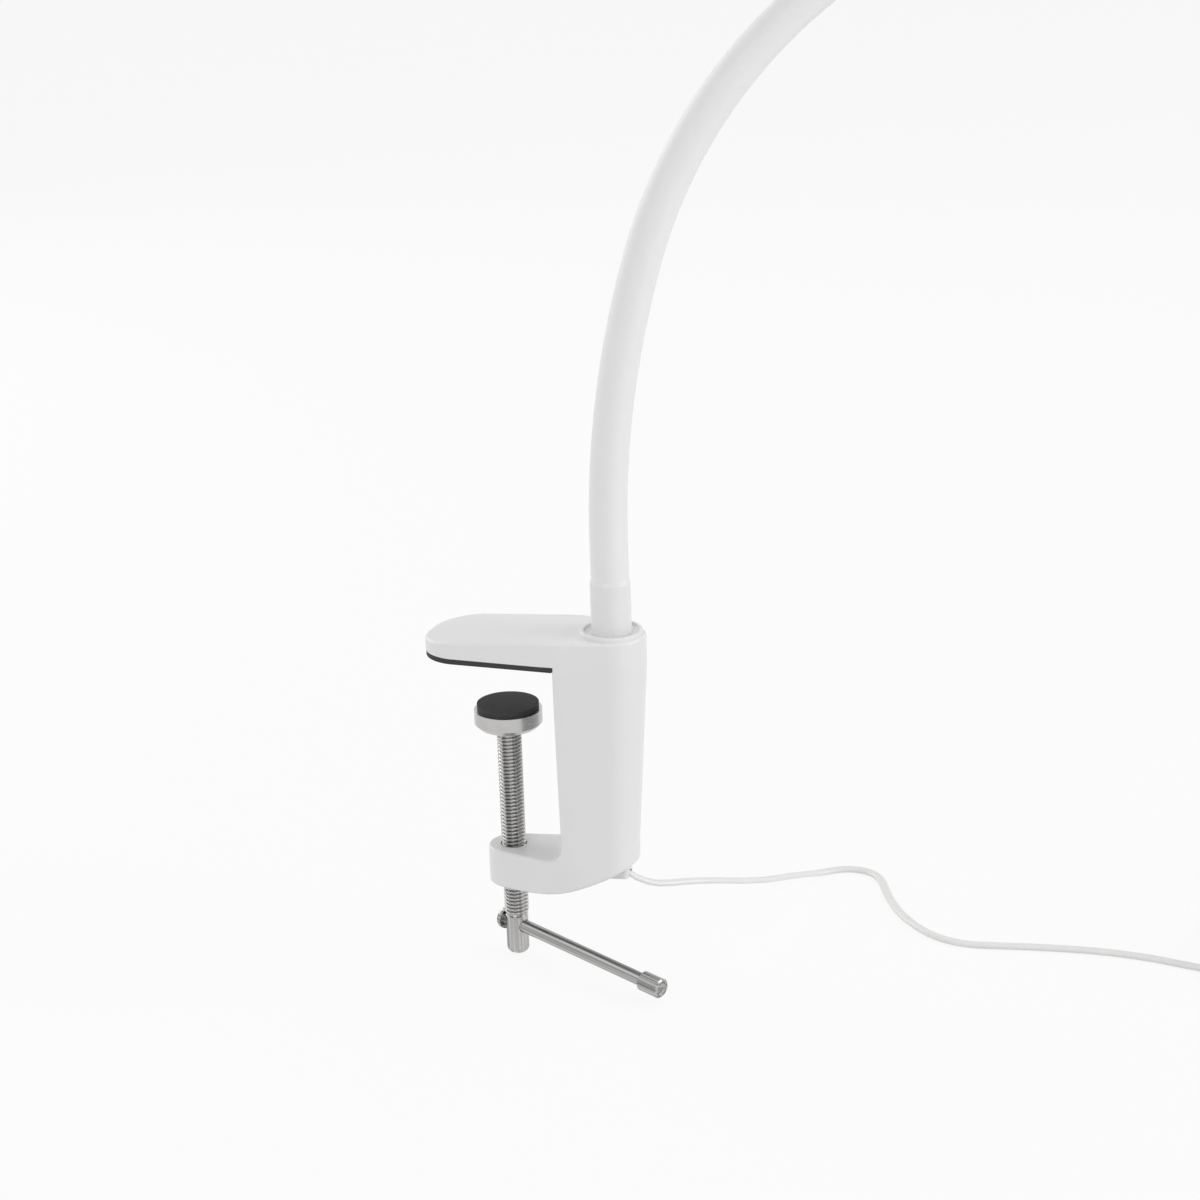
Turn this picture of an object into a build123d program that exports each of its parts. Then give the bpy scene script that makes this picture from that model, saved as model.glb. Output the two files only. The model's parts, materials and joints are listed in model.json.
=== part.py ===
"""Clamp-on gooseneck lamp: a C-clamp with a screw and tommy bar, a bendable neck and a small LED head.

Frame: millimetres, +Z up. The origin is on the rubber face of the upper jaw, where the screw's axis
meets it. +X points away from the table edge, so the jaws reach towards -X.
"""
import math
import os

from build123d import *

os.makedirs("parts", exist_ok=True)

# Fits
fit_gap = 0.15
running_gap = 0.3

# Clamp body
screw_to_face = 21.4
throat_height = 66.0
board_thick = 17.0
jaw_pad_thick = 1.8
jaw_reach = 25.6
jaw_half = 15.5
jaw_shoulder = 12.4
jaw_corner_r = 13.2
jaw_root_half = 14.6
jaw_root_top = 10.1
jaw_tip_top = 5.9
jaw_shoulder_r = 60.0
column_axis = 36.5
column_end_r = 10.9
column_foot_half = 12.9
column_foot_axis = 34.0
column_foot_r = 9.4
column_inner_wall = 5.8
column_outer_wall = 2.4
cavity_half = 8.4
cavity_top = 1.0
arm_end_r = 8.2
arm_shoulder_r = 26.0
arm_thick = 12.8
arm_fillet = 5.5
heel_start = 3.0
heel_end = 44.0
heel_rise = 12.5
edge_round = 1.0
arm_chamfer = 0.5
low_chamfer = 0.6
collar_rise = 1.3
collar_round = 0.4
collar_rim = 1.0
collar_dish = 1.0
cover_thick = 2.0
cover_lip = 1.2
cover_reach = 3.6
cover_screw_y = 5.0
cover_screw_r = 1.0
cover_screw_long = 8.0
screw_head_r = 1.7
screw_head = 1.2

# Screw, bar and foot
screw_r = 4.0
screw_pitch = 1.25
screw_plain_r = 3.7
screw_plain_drop = 12.7
screw_end_drop = 26.1
screw_dome = 2.4
screw_pin_r = 2.5
insert_r = 5.5
insert_height = 9.0
insert_slack = 0.06
bar_r = 2.15
bar_drop = 15.9
bar_azimuth = -21.5
bar_droop = 4.6
bar_front = 63.0
bar_back = 6.9
bar_cap_r = 3.25
bar_cap_long = 8.0
bar_cap_edge = 0.4
bar_head_r = 3.6
bar_head_thick = 2.4
bar_head_round = 1.6
bar_head_seat = 1.4
bar_slack = 0.1
pin_slack = 0.1
foot_r = 11.0
foot_pad_r = 10.0
foot_pad_thick = 2.0
foot_web = 3.0
foot_well_r = 6.5
foot_well_deep = 3.0
foot_flare = 1.5
clip_r = 4.6
clip_thick = 1.0

# Neck
sleeve_r = 6.0
core_r = 4.2
core_bore_r = 2.6
sleeve_gap = 0.2
ferrule_r = 6.4
ferrule_long = 16.9
ferrule_taper = 1.4
socket_r = 5.4
socket_long = 14.5
socket_floor = 1.5
stud_r = 4.0
stud_long = 17.0
head_stud_long = 12.0
nut_flats_r = 5.5
nut_thick = 4.0
washer_r = 6.4
washer_thick = 1.0
wire_r = 0.9
wire_offset = 1.5
bend_azimuth = 30.0
neck_straight = 30.0
low_bend_r = 300.0
low_bend_turn = 17.0
middle_bend_r = 150.0
middle_bend_turn = 50.0
top_bend_r = 132.0
top_bend_turn = 65.0
neck_tail = 20.0
neck_joint_first = 50.0
neck_joint_step = 62.0
neck_joints = 6
core_gap = 3.6

# Head, measured along its own axis from the neck's end
head_cap_long = 18.0
head_cap_r = 20.0
head_cap_mouth_r = 8.0
head_wall = 2.0
head_length = 56.0
head_front_r = 24.0
spigot_long = 3.5
head_floor = 2.6
spigot_wall = 1.6
spigot_link = 1.5
ledge_back = 31.0
ledge_thick = 1.8
ledge_inner_r = 16.4
sink_disc_thick = 3.2
sink_disc_r = 19.4
sink_fins = 10
sink_fin_thick = 1.2
sink_fin_back = 21.0
sink_fin_r = 11.0
sink_core_r = 5.0
shelf_half = 4.6
shelf_r = 11.2
sink_screw_r = 17.9
board_screw_r = 11.5
board_screw_bite = 2.4
small_screw_r = 0.9
board_r = 14.5
board_sheet = 1.2
led_r = 4.5
led_thick = 0.9
reflector_base_r = 6.4
reflector_rim_r = 20.0
reflector_wall = 1.0
diffuser_recess = 1.2
diffuser_r = 20.2
diffuser_thick = 2.0
bezel_lip_r = 19.2
bezel_rim = 2.8
bezel_spigot_r = 21.35
bezel_spigot_long = 5.0
button_at = 25.0
button_r = 4.0
button_flange_r = 4.7
button_flange = 1.2
button_top = 22.2
button_travel = 1.2
button_edge = 0.6
switch_tall = 3.2
switch_half = 3.2
terminal_wide = 8.0
terminal_deep = 6.0
terminal_tall = 3.0

# Cord, its coil and its adapter
floor_gap = 0.5
cord_r = 1.5
cord_exit_x = 40.4
cord_exit_rise = 7.7
snout_drop = 1.7
snout_edge = 0.4
snout_long = 9.0
snout_half = 3.0
slot_margin = 2.0
slot_side = 1.0
flange_thick = 1.5
flange_lip = 0.8
coil_x = 248.0
coil_y = 72.0
coil_outer_r = 25.0
coil_layer_turns = 3.0
coil_layers = 4
coil_step = 3.7
coil_layer_step = 3.6
coil_lead_turn = 0.25
tie_wide = 7.0
tie_thick = 0.8
tie_angle = 135.0
tie_slack = 1.0
tail_long = 14.0
relief_long = 24.0
relief_tip_r = 2.6
relief_root_r = 4.6
relief_neck_r = 3.0
relief_flange_r = 4.4
relief_flange = 1.5
relief_grip = 6.0
adapter_long = 58.0
adapter_wide = 36.0
adapter_tall = 26.6
adapter_wall = 2.2
adapter_lip = 1.0
adapter_round = 4.0
pin_r = 2.0
pin_long = 19.0
pin_spacing = 18.6
pin_rooted = 6.0
pin_root_r = 2.6
pin_shoulder = 0.8
pin_flange_r = 3.6
core_wide = 28.0
core_tall = 16.0
core_long = 38.0
splice_r = 1.7
splice_long = 14.0
splice_base = -40.0

# Worked out from the values above
arm_bottom = -throat_height - arm_thick
collar_top = jaw_root_top + collar_rise
screw_plain_top = arm_bottom - screw_plain_drop
screw_end = arm_bottom - screw_end_drop
bar_height = arm_bottom - bar_drop
floor_z = screw_end - floor_gap
cord_exit_z = arm_bottom + cord_exit_rise
foot_top = -board_thick
foot_shell_top = foot_top - foot_pad_thick
foot_bottom = foot_shell_top - foot_well_deep - foot_web
screw_shoulder = foot_bottom - 2 * pin_slack
heel_r = ((heel_end - heel_start) ** 2 + heel_rise ** 2) / (2 * heel_rise)
neck_runs = [
    (None, neck_straight),
    (low_bend_r, low_bend_r * math.radians(low_bend_turn)),
    (middle_bend_r, middle_bend_r * math.radians(middle_bend_turn)),
    (top_bend_r, top_bend_r * math.radians(top_bend_turn)),
    (None, neck_tail),
]
neck_length = sum(length for _, length in neck_runs)
neck_marks = [sum(length for _, length in neck_runs[:n]) for n in range(1, len(neck_runs))]
neck_root = Vector(column_axis, 0, collar_top)
neck_side = Vector(math.cos(math.radians(bend_azimuth)), math.sin(math.radians(bend_azimuth)), 0)
neck_up = Vector(0, 0, 1)
neck_plane = Plane(origin=neck_root, x_dir=neck_side, z_dir=neck_side.cross(neck_up))
bar_along = Vector(
    math.cos(math.radians(bar_azimuth)) * math.cos(math.radians(bar_droop)),
    math.sin(math.radians(bar_azimuth)) * math.cos(math.radians(bar_droop)),
    -math.sin(math.radians(bar_droop)),
)
bar_frame = Plane(origin=(0, 0, bar_height), z_dir=bar_along)
cord_start = (cord_exit_x - 1.42, -0.44, cord_exit_z + 0.18)
cord_first_turn = (cord_exit_x + 4.3, 2.5, cord_exit_z - 5.7)
cord_frame = Plane(origin=cord_start, z_dir=Vector(cord_first_turn) - Vector(cord_start))


def underside(x):
    """Height of the curved underside at a distance x from the screw."""
    return arm_bottom + heel_r - math.sqrt(heel_r ** 2 - (x - heel_start) ** 2)


def round_ended(face_x, half, axis_x, end_r):
    """A flat face, two straight sides and a round end that the sides run into."""
    side = 1 if axis_x > face_x else -1
    away = math.atan2(-half, face_x - axis_x)
    spread = math.acos(end_r / math.hypot(face_x - axis_x, half))
    angle = away + side * spread
    low = (axis_x + end_r * math.cos(angle), end_r * math.sin(angle))
    high = (low[0], -low[1])
    with BuildLine() as outline:
        Line((face_x, half), (face_x, -half))
        Line((face_x, -half), low)
        ThreePointArc(low, (axis_x + side * end_r, 0), high)
        Line(high, (face_x, half))
    make_face(outline.edges())


def shoulders(points):
    """The corners of a plan where its sides meet the column's."""
    return points.filter_by(lambda point: abs(point.X - screw_to_face) < fit_gap)


def column_part(plan):
    """The part of a plan that lies behind the throat."""
    add(plan.sketch_local)
    with Locations((screw_to_face, 0)):
        Rectangle(2 * jaw_reach, 4 * jaw_half, align=(Align.MAX, Align.CENTER), mode=Mode.SUBTRACT)


def heel_band(low, high):
    """The layer that follows the underside, between two heights above it."""
    with BuildLine() as outline:
        for height in (arm_bottom + low, arm_bottom + high):
            TangentArc((heel_start, height), (heel_end, height + heel_rise), tangent=(1, 0))
        for x, height in ((heel_start, arm_bottom), (heel_end, arm_bottom + heel_rise)):
            Line((x, height + low), (x, height + high))
    make_face(outline.edges())


def save(piece, name):
    """Label a finished piece and write it under its own name."""
    piece.part.label = name
    export_step(piece.part, f"parts/{name}.step")


def rim(faces):
    """The outer edges of a group of faces: those that only one of them has."""
    edges = [edge for face in faces for edge in face.edges()]
    return ShapeList(edge for edge in edges if sum(edge.is_same(other) for other in edges) == 1)


def turned(frame, outline):
    """A turned piece: an outline of (radius, height) points spun about the frame's axis."""
    section = Plane(origin=frame.origin, x_dir=frame.x_dir, z_dir=frame.x_dir.cross(frame.z_dir))
    with BuildPart() as piece:
        with BuildSketch(section):
            with BuildLine():
                Polyline(*outline, close=True)
            make_face()
        revolve(axis=Axis(frame.origin, frame.z_dir))
    return piece


def hex_nut(frame, hole_r):
    """A plain hexagon nut standing on a frame."""
    with BuildPart() as piece:
        with BuildSketch(frame):
            RegularPolygon(nut_flats_r, 6, major_radius=False)
            Circle(hole_r, mode=Mode.SUBTRACT)
        extrude(amount=nut_thick)
    return piece


def pan_screws(frames, shank_r, shank_long):
    """Like screws, each hanging from its head along its own frame."""
    with BuildPart() as pieces:
        for frame in frames:
            with BuildSketch(frame):
                Circle(screw_head_r)
            extrude(amount=screw_head)
            with BuildSketch(frame):
                Circle(shank_r)
            extrude(amount=-shank_long)
    return pieces


def neck_point(s):
    """Side step, height and lean of the neck's centre line at a length s from its base."""
    side, height, lean, left = 0.0, 0.0, 0.0, s
    for number, (radius, length) in enumerate(neck_runs):
        step = left if number == len(neck_runs) - 1 else min(left, length)
        if radius is None:
            side += step * math.sin(lean)
            height += step * math.cos(lean)
        else:
            turn = step / radius
            side += radius * (math.cos(lean) - math.cos(lean + turn))
            height += radius * (math.sin(lean + turn) - math.sin(lean))
            lean += turn
        left -= step
        if left <= 0:
            break
    return side, height, lean


def neck_frame(s):
    """Plane square to the neck at a length s, its X axis on the outer side of the bend."""
    side, height, lean = neck_point(s)
    return Plane(
        origin=neck_root + neck_side * side + neck_up * height,
        x_dir=neck_up * math.sin(lean) - neck_side * math.cos(lean),
        z_dir=neck_side * math.sin(lean) + neck_up * math.cos(lean),
    )


def neck_line(start, end, aside=0.0):
    """The neck's centre line between two lengths, or a line beside it, out of the plane of the bend."""
    marks = [start] + [mark for mark in neck_marks if start < mark < end] + [end]
    with BuildLine(neck_plane.offset(-aside)) as line:
        for first, last in zip(marks, marks[1:]):
            ends = [neck_point(first), neck_point((first + last) / 2), neck_point(last)]
            if abs(ends[0][2] - ends[2][2]) < 1e-9:
                Line(ends[0][:2], ends[2][:2])
            else:
                ThreePointArc(*(point[:2] for point in ends))
    return line.wire()


def neck_tube(start, end, outer_r, inner_r):
    """A tube along the neck between two lengths."""
    with BuildPart() as tube:
        with BuildSketch(neck_frame(start)):
            Circle(outer_r)
            Circle(inner_r, mode=Mode.SUBTRACT)
        sweep(path=neck_line(start, end))
    return tube


# Clamp body: column, jaws, collar and the hollow for the wires
cavity_face = screw_to_face + column_inner_wall
lip_face = cavity_face - cover_reach
lip_half = cavity_half + cover_lip
lip_r = column_foot_r - column_outer_wall + cover_lip
cover_screw_x = 0.5 * (lip_face + cavity_face)
cover_screw_z = underside(cover_screw_x) + screw_head
collar_r = column_end_r - edge_round
standing = (Align.CENTER, Align.CENTER, Align.MIN)
base_frame = Plane(origin=(column_axis, 0, collar_top), x_dir=(-1, 0, 0), z_dir=(0, 0, 1))

with BuildPart() as cover_seat:
    with BuildSketch(Plane.XY.offset(arm_bottom)):
        round_ended(lip_face, lip_half, column_foot_axis, lip_r)
    extrude(amount=arm_thick + heel_rise)
    with BuildSketch(Plane.XZ):
        heel_band(-cover_thick, cover_thick)
    extrude(amount=2 * jaw_half, both=True, mode=Mode.INTERSECT)

with BuildSketch() as foot_plan:
    round_ended(screw_to_face, column_foot_half, column_foot_axis, column_foot_r)
    round_ended(screw_to_face, column_foot_half, 0, arm_end_r)
    fillet(shoulders(vertices()), arm_shoulder_r)

with BuildSketch() as jaw_plan:
    round_ended(screw_to_face, jaw_root_half, column_axis, column_end_r)
    with BuildLine():
        Polyline(
            (screw_to_face, jaw_root_half),
            (-jaw_shoulder, jaw_half),
            (-jaw_reach, jaw_half),
            (-jaw_reach, -jaw_half),
            (-jaw_shoulder, -jaw_half),
            (screw_to_face, -jaw_root_half),
            close=True,
        )
    make_face()
    fillet(vertices().group_by(Axis.X)[0], jaw_corner_r)
    fillet(shoulders(vertices()), jaw_shoulder_r)

with BuildPart() as clamp_body:
    with BuildSketch(Plane.XY.offset(arm_bottom)):
        add(foot_plan.sketch_local)
    extrude(amount=arm_thick + arm_fillet)
    with BuildSketch(Plane.XY.offset(arm_fillet - throat_height)):
        column_part(foot_plan)
    with BuildSketch(Plane.XY):
        column_part(jaw_plan)
    loft(ruled=True)
    with BuildSketch(Plane.XY):
        add(jaw_plan.sketch_local)
    extrude(amount=jaw_root_top)
    with BuildSketch(Plane.XZ):
        with BuildLine():
            Polyline(
                (heel_start, arm_bottom),
                (-jaw_reach, arm_bottom),
                (-jaw_reach, -throat_height),
                (screw_to_face, -throat_height),
                (screw_to_face, jaw_pad_thick),
                (-jaw_reach, jaw_pad_thick),
                (-jaw_reach, jaw_tip_top),
                (screw_to_face, jaw_root_top),
                (heel_end + column_end_r, jaw_root_top),
                (heel_end + column_end_r, arm_bottom + heel_rise),
                (heel_end, arm_bottom + heel_rise),
            )
            TangentArc((heel_start, arm_bottom), (heel_end, arm_bottom + heel_rise), tangent=(1, 0))
        make_face()
        fillet(vertices().sort_by_distance((screw_to_face, -throat_height))[0], arm_fillet)
    extrude(amount=2 * jaw_half, both=True, mode=Mode.INTERSECT)
    top_faces = faces().filter_by(lambda face: face.center().Z > 0 and face.normal_at().Z > 0.9)
    fillet(rim(top_faces), edge_round)
    low_faces = faces().filter_by(lambda face: face.center().Z < 0 and face.normal_at().Z < -0.5)
    chamfer(rim(low_faces).filter_by(lambda edge: edge.center().Z < -throat_height), low_chamfer)
    arm_faces = faces().filter_by(lambda face: face.center().Z < 0 and face.normal_at().Z > 0.5)
    chamfer(rim(arm_faces).filter_by(lambda edge: edge.center().X < screw_to_face - fit_gap), arm_chamfer)
    with Locations((column_axis, 0, jaw_root_top)):
        Cylinder(collar_r, collar_rise, align=standing)
    fillet(edges().group_by(Axis.Z)[-1], collar_round)
    with BuildSketch(Plane.XY.offset(collar_top)):
        with Locations((column_axis, 0)):
            Circle(collar_r - collar_rim)
            Circle(ferrule_r + fit_gap, mode=Mode.SUBTRACT)
    extrude(amount=-collar_dish, mode=Mode.SUBTRACT)
    with BuildSketch(Plane.XY.offset(arm_bottom)):
        round_ended(cavity_face, cavity_half, column_foot_axis, column_foot_r - column_outer_wall)
    with BuildSketch(Plane.XY.offset(cavity_top)):
        round_ended(cavity_face, cavity_half, column_axis, column_end_r - column_outer_wall)
    loft(ruled=True, mode=Mode.SUBTRACT)
    add(cover_seat.part, mode=Mode.SUBTRACT)
    with Locations((column_axis, 0, cavity_top)):
        Cylinder(stud_r + fit_gap, 2 * collar_top, align=standing, mode=Mode.SUBTRACT)
    with Locations((0, 0, arm_bottom)):
        Cylinder(screw_r + running_gap, arm_thick, align=standing, mode=Mode.SUBTRACT)
        Cylinder(insert_r + fit_gap / 3, insert_height, align=standing, mode=Mode.SUBTRACT)
    cover_hole_long = cover_screw_long + running_gap
    for side in (-cover_screw_y, cover_screw_y):
        with Locations((cover_screw_x, side, cover_screw_z)):
            Cylinder(cover_screw_r + fit_gap / 3, cover_hole_long, align=standing, mode=Mode.SUBTRACT)
save(clamp_body, "clamp_body")

with BuildPart() as jaw_pad:
    with BuildSketch(Plane.XY):
        with BuildLine():
            Polyline(
                (screw_to_face - fit_gap, jaw_root_half - 2 * fit_gap),
                (-jaw_shoulder, jaw_half - fit_gap),
                (-jaw_reach + fit_gap, jaw_half - fit_gap),
                (-jaw_reach + fit_gap, -jaw_half + fit_gap),
                (-jaw_shoulder, -jaw_half + fit_gap),
                (screw_to_face - fit_gap, -jaw_root_half + 2 * fit_gap),
                close=True,
            )
        make_face()
        fillet(vertices().group_by(Axis.X)[0], jaw_corner_r - fit_gap)
    extrude(amount=jaw_pad_thick)
save(jaw_pad, "jaw_pad")

thread_insert = turned(
    Plane.XY,
    [
        (screw_r + insert_slack, arm_bottom + fit_gap),
        (insert_r, arm_bottom + fit_gap),
        (insert_r, arm_bottom + insert_height),
        (screw_r + insert_slack, arm_bottom + insert_height),
    ],
)
save(thread_insert, "thread_insert")

# Underside cover, its screws and the cord's outlet
snout_back = cord_exit_x - snout_long
snout_middle = cord_exit_x - 0.5 * snout_long
slot_low = snout_back + slot_margin
slot_high = cord_exit_x - slot_margin
slot_half = snout_half - slot_side
snout_bottom = cord_exit_z - snout_drop
flange_base = underside(slot_high + flange_lip) + cover_thick

with BuildPart() as bottom_cover:
    with BuildSketch(Plane.XY.offset(arm_bottom)):
        round_ended(lip_face + fit_gap, lip_half - fit_gap, column_foot_axis, lip_r - fit_gap)
    extrude(amount=arm_thick + heel_rise)
    with BuildSketch(Plane.XZ):
        heel_band(0, cover_thick)
    extrude(amount=2 * jaw_half, both=True, mode=Mode.INTERSECT)
    with BuildSketch(Plane.XY.offset(arm_bottom)):
        with Locations((0.5 * (slot_low + slot_high), 0)):
            Rectangle(slot_high - slot_low + 2 * fit_gap, 2 * slot_half + 2 * fit_gap)
    extrude(amount=arm_thick + heel_rise, mode=Mode.SUBTRACT)
    for side in (-cover_screw_y, cover_screw_y):
        with Locations((cover_screw_x, side, arm_bottom)):
            Cylinder(cover_screw_r + fit_gap, arm_thick + heel_rise, mode=Mode.SUBTRACT)
        with Locations((cover_screw_x, side, cover_screw_z)):
            Cylinder(
                screw_head_r + fit_gap,
                arm_thick,
                align=(Align.CENTER, Align.CENTER, Align.MAX),
                mode=Mode.SUBTRACT,
            )
save(bottom_cover, "bottom_cover")

cover_screws = pan_screws(
    [
        Plane(origin=(cover_screw_x, side, cover_screw_z), z_dir=(0, 0, -1))
        for side in (-cover_screw_y, cover_screw_y)
    ],
    cover_screw_r,
    cover_screw_long,
)
save(cover_screws, "cover_screws")

with BuildPart() as cord_bush:
    with BuildSketch(Plane.XY.offset(arm_bottom)):
        with Locations((snout_middle, 0)):
            RectangleRounded(snout_long, 2 * snout_half, 0.5 * snout_half)
    extrude(amount=arm_thick + heel_rise)
    with BuildSketch(Plane.XZ):
        with BuildLine():
            ThreePointArc(*((x, underside(x)) for x in (snout_back, snout_middle, cord_exit_x)))
            Polyline(
                (cord_exit_x, underside(cord_exit_x)),
                (cord_exit_x, snout_bottom),
                (snout_back, underside(snout_back) - snout_edge),
                (snout_back, underside(snout_back)),
            )
        make_face()
    extrude(amount=2 * jaw_half, both=True, mode=Mode.INTERSECT)
    with BuildSketch(Plane.XY.offset(underside(slot_low))):
        with Locations((0.5 * (slot_low + slot_high), 0)):
            Rectangle(slot_high - slot_low, 2 * slot_half)
    extrude(amount=flange_base - underside(slot_low))
    with BuildSketch(Plane.XY.offset(flange_base)):
        with Locations((0.5 * (slot_low + slot_high), 0)):
            Rectangle(slot_high - slot_low + 2 * (fit_gap + flange_lip), 2 * (snout_half + flange_lip))
    extrude(amount=flange_thick)
    with BuildSketch(cord_frame):
        Circle(cord_r + fit_gap / 3)
    extrude(amount=snout_long, mode=Mode.SUBTRACT)
save(cord_bush, "cord_bush")

with BuildPart() as inner_cord:
    with BuildSketch(Plane.XY.offset(flange_base + flange_thick)):
        with Locations((column_foot_axis, 0)):
            Circle(cord_r)
    extrude(amount=splice_base - flange_base - flange_thick)
save(inner_cord, "inner_cord")

with BuildPart() as wire_splices:
    for side in (-splice_r - fit_gap, splice_r + fit_gap):
        with BuildSketch(Plane.XY.offset(splice_base)):
            with Locations((column_axis, side)):
                Circle(splice_r)
        extrude(amount=splice_long)
save(wire_splices, "wire_splices")

# Clamp screw, foot, bar
with BuildPart() as clamp_screw:
    with BuildSketch(Plane.XZ):
        with BuildLine():
            Polyline(
                (0, screw_end),
                (screw_plain_r, screw_end),
                (screw_plain_r, screw_plain_top),
                (screw_r, screw_plain_top + screw_r - screw_plain_r),
                (screw_r, screw_shoulder),
                (screw_pin_r, screw_shoulder),
                (screw_pin_r, foot_shell_top - running_gap),
                (0, foot_shell_top - running_gap),
                close=True,
            )
        make_face()
        fillet(vertices().sort_by_distance((screw_plain_r, screw_end))[0], screw_dome)
    revolve(axis=Axis.Z)
    with BuildSketch(bar_frame.offset(-2 * screw_r)):
        Circle(bar_r + bar_slack)
    extrude(amount=4 * screw_r, mode=Mode.SUBTRACT)
save(clamp_screw, "clamp_screw")

bar_start = bar_head_thick - bar_head_seat - bar_back
bar_long = bar_front - bar_cap_long / 2 - bar_start
with BuildPart() as tommy_bar:
    with BuildSketch(bar_frame.offset(bar_start)):
        Circle(bar_r)
    extrude(amount=bar_long)
save(tommy_bar, "tommy_bar")

with BuildPart() as bar_caps:
    with BuildSketch(bar_frame.offset(bar_front - bar_cap_long)):
        Circle(bar_cap_r)
    extrude(amount=bar_cap_long)
    chamfer(edges().filter_by(GeomType.CIRCLE), bar_cap_edge)
    back_end = bar_frame.offset(-bar_back)
    with BuildSketch(back_end):
        Circle(bar_head_r)
    extrude(amount=bar_head_thick)
    fillet(edges().filter_by(GeomType.CIRCLE).sort_by_distance(back_end.origin)[0], bar_head_round)
    with BuildSketch(bar_frame.offset(bar_start)):
        Circle(bar_r + fit_gap / 3)
    extrude(amount=bar_long, mode=Mode.SUBTRACT)
save(bar_caps, "bar_caps")

pressure_foot = turned(
    Plane.XY,
    [
        (screw_pin_r + pin_slack, foot_bottom),
        (foot_r - foot_flare, foot_bottom),
        (foot_r, foot_bottom + foot_flare),
        (foot_r, foot_shell_top),
        (foot_well_r, foot_shell_top),
        (foot_well_r, foot_bottom + foot_web),
        (screw_pin_r + pin_slack, foot_bottom + foot_web),
    ],
)
save(pressure_foot, "pressure_foot")

foot_pad = turned(
    Plane.XY,
    [(0, foot_shell_top), (foot_pad_r, foot_shell_top), (foot_pad_r, foot_top), (0, foot_top)],
)
save(foot_pad, "foot_pad")

clip_base = foot_bottom + foot_web + pin_slack
foot_clip = turned(
    Plane.XY,
    [
        (screw_pin_r + fit_gap / 3, clip_base),
        (clip_r, clip_base),
        (clip_r, clip_base + clip_thick),
        (screw_pin_r + fit_gap / 3, clip_base + clip_thick),
    ],
)
save(foot_clip, "foot_clip")

# Neck: fittings at its base, bendable core, sleeve and wires
core_seat_r = core_r + fit_gap
ferrule_bore = socket_r + fit_gap
ferrule_lip_r = core_r + running_gap
socket_step = socket_long + running_gap

neck_base_stud = turned(
    base_frame,
    [
        (core_bore_r, -stud_long),
        (stud_r, -stud_long),
        (stud_r, 0),
        (socket_r, 0),
        (socket_r, socket_long),
        (core_seat_r, socket_long),
        (core_seat_r, socket_floor),
        (core_bore_r, socket_floor),
    ],
)
save(neck_base_stud, "neck_base_stud")

base_ferrule = turned(
    base_frame,
    [
        (ferrule_bore, 0),
        (ferrule_r, 0),
        (ferrule_r, ferrule_long - ferrule_taper),
        (sleeve_r, ferrule_long),
        (ferrule_lip_r, ferrule_long),
        (ferrule_lip_r, socket_step),
        (ferrule_bore, socket_step),
    ],
)
save(base_ferrule, "base_ferrule")

neck_washer = turned(
    Plane(origin=(column_axis, 0, cavity_top), x_dir=(1, 0, 0), z_dir=(0, 0, -1)),
    [(stud_r + fit_gap, 0), (washer_r, 0), (washer_r, washer_thick), (stud_r + fit_gap, washer_thick)],
)
save(neck_washer, "neck_washer")

neck_nut = hex_nut(
    Plane(origin=(column_axis, 0, cavity_top - washer_thick), z_dir=(0, 0, -1)), stud_r + fit_gap / 3
)
save(neck_nut, "neck_nut")

neck_joint_at = [neck_joint_first + neck_joint_step * n for n in range(neck_joints)]
core_starts = [socket_floor] + [s + core_gap / 2 for s in neck_joint_at]
core_ends = [s - core_gap / 2 for s in neck_joint_at] + [neck_length - socket_floor]
for number, (start, end) in enumerate(zip(core_starts, core_ends), 1):
    save(neck_tube(start, end, core_r, core_bore_r), f"neck_core_{number}")

save(neck_tube(ferrule_long, neck_length - ferrule_long, sleeve_r, core_r + sleeve_gap), "neck_sleeve")

wire_start = splice_base + splice_long - collar_top
wire_end = neck_length + sink_fin_back - terminal_tall
with BuildPart() as lead_wires:
    for side in (-wire_offset, wire_offset):
        with BuildSketch(neck_frame(wire_start)):
            with Locations((0, side)):
                Circle(wire_r)
        sweep(path=neck_line(wire_start, wire_end, side))
save(lead_wires, "lead_wires")

for number, s in enumerate(neck_joint_at, 1):
    print(f"neck joint {number}", [round(v, 4) for v in neck_frame(s).origin], neck_point(s)[2])

# Head
head_frame = neck_frame(neck_length)
print("head", head_frame.origin, head_frame.z_dir, head_frame.x_dir)
head_axis = Axis(head_frame.origin, head_frame.z_dir)
head_section = Plane(
    origin=head_frame.origin, x_dir=head_frame.x_dir, z_dir=head_frame.x_dir.cross(head_frame.z_dir)
)
head_cap_step = head_cap_long - spigot_long - running_gap
ledge_front = ledge_back + ledge_thick
sink_front = ledge_front + sink_disc_thick
board_front = sink_front + board_sheet
reflector_front = head_length - diffuser_recess
diffuser_front = reflector_front + diffuser_thick
bezel_front = head_length + bezel_rim
button_bottom = shelf_r + switch_tall + button_travel + running_gap
button_frame = Plane(origin=head_frame.from_local_coords((0, 0, button_at)), z_dir=head_frame.x_dir)


def shell_inner(z):
    """Inside radius of the head shell at a distance z along the head."""
    share = (z - head_cap_long) / (head_length - head_cap_long)
    return head_cap_r + (head_front_r - head_cap_r) * share - head_wall


neck_end_stud = turned(
    head_frame,
    [
        (core_bore_r, head_stud_long),
        (stud_r, head_stud_long),
        (stud_r, 0),
        (socket_r, 0),
        (socket_r, -socket_long),
        (core_seat_r, -socket_long),
        (core_seat_r, -socket_floor),
        (core_bore_r, -socket_floor),
    ],
)
save(neck_end_stud, "neck_end_stud")

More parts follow.
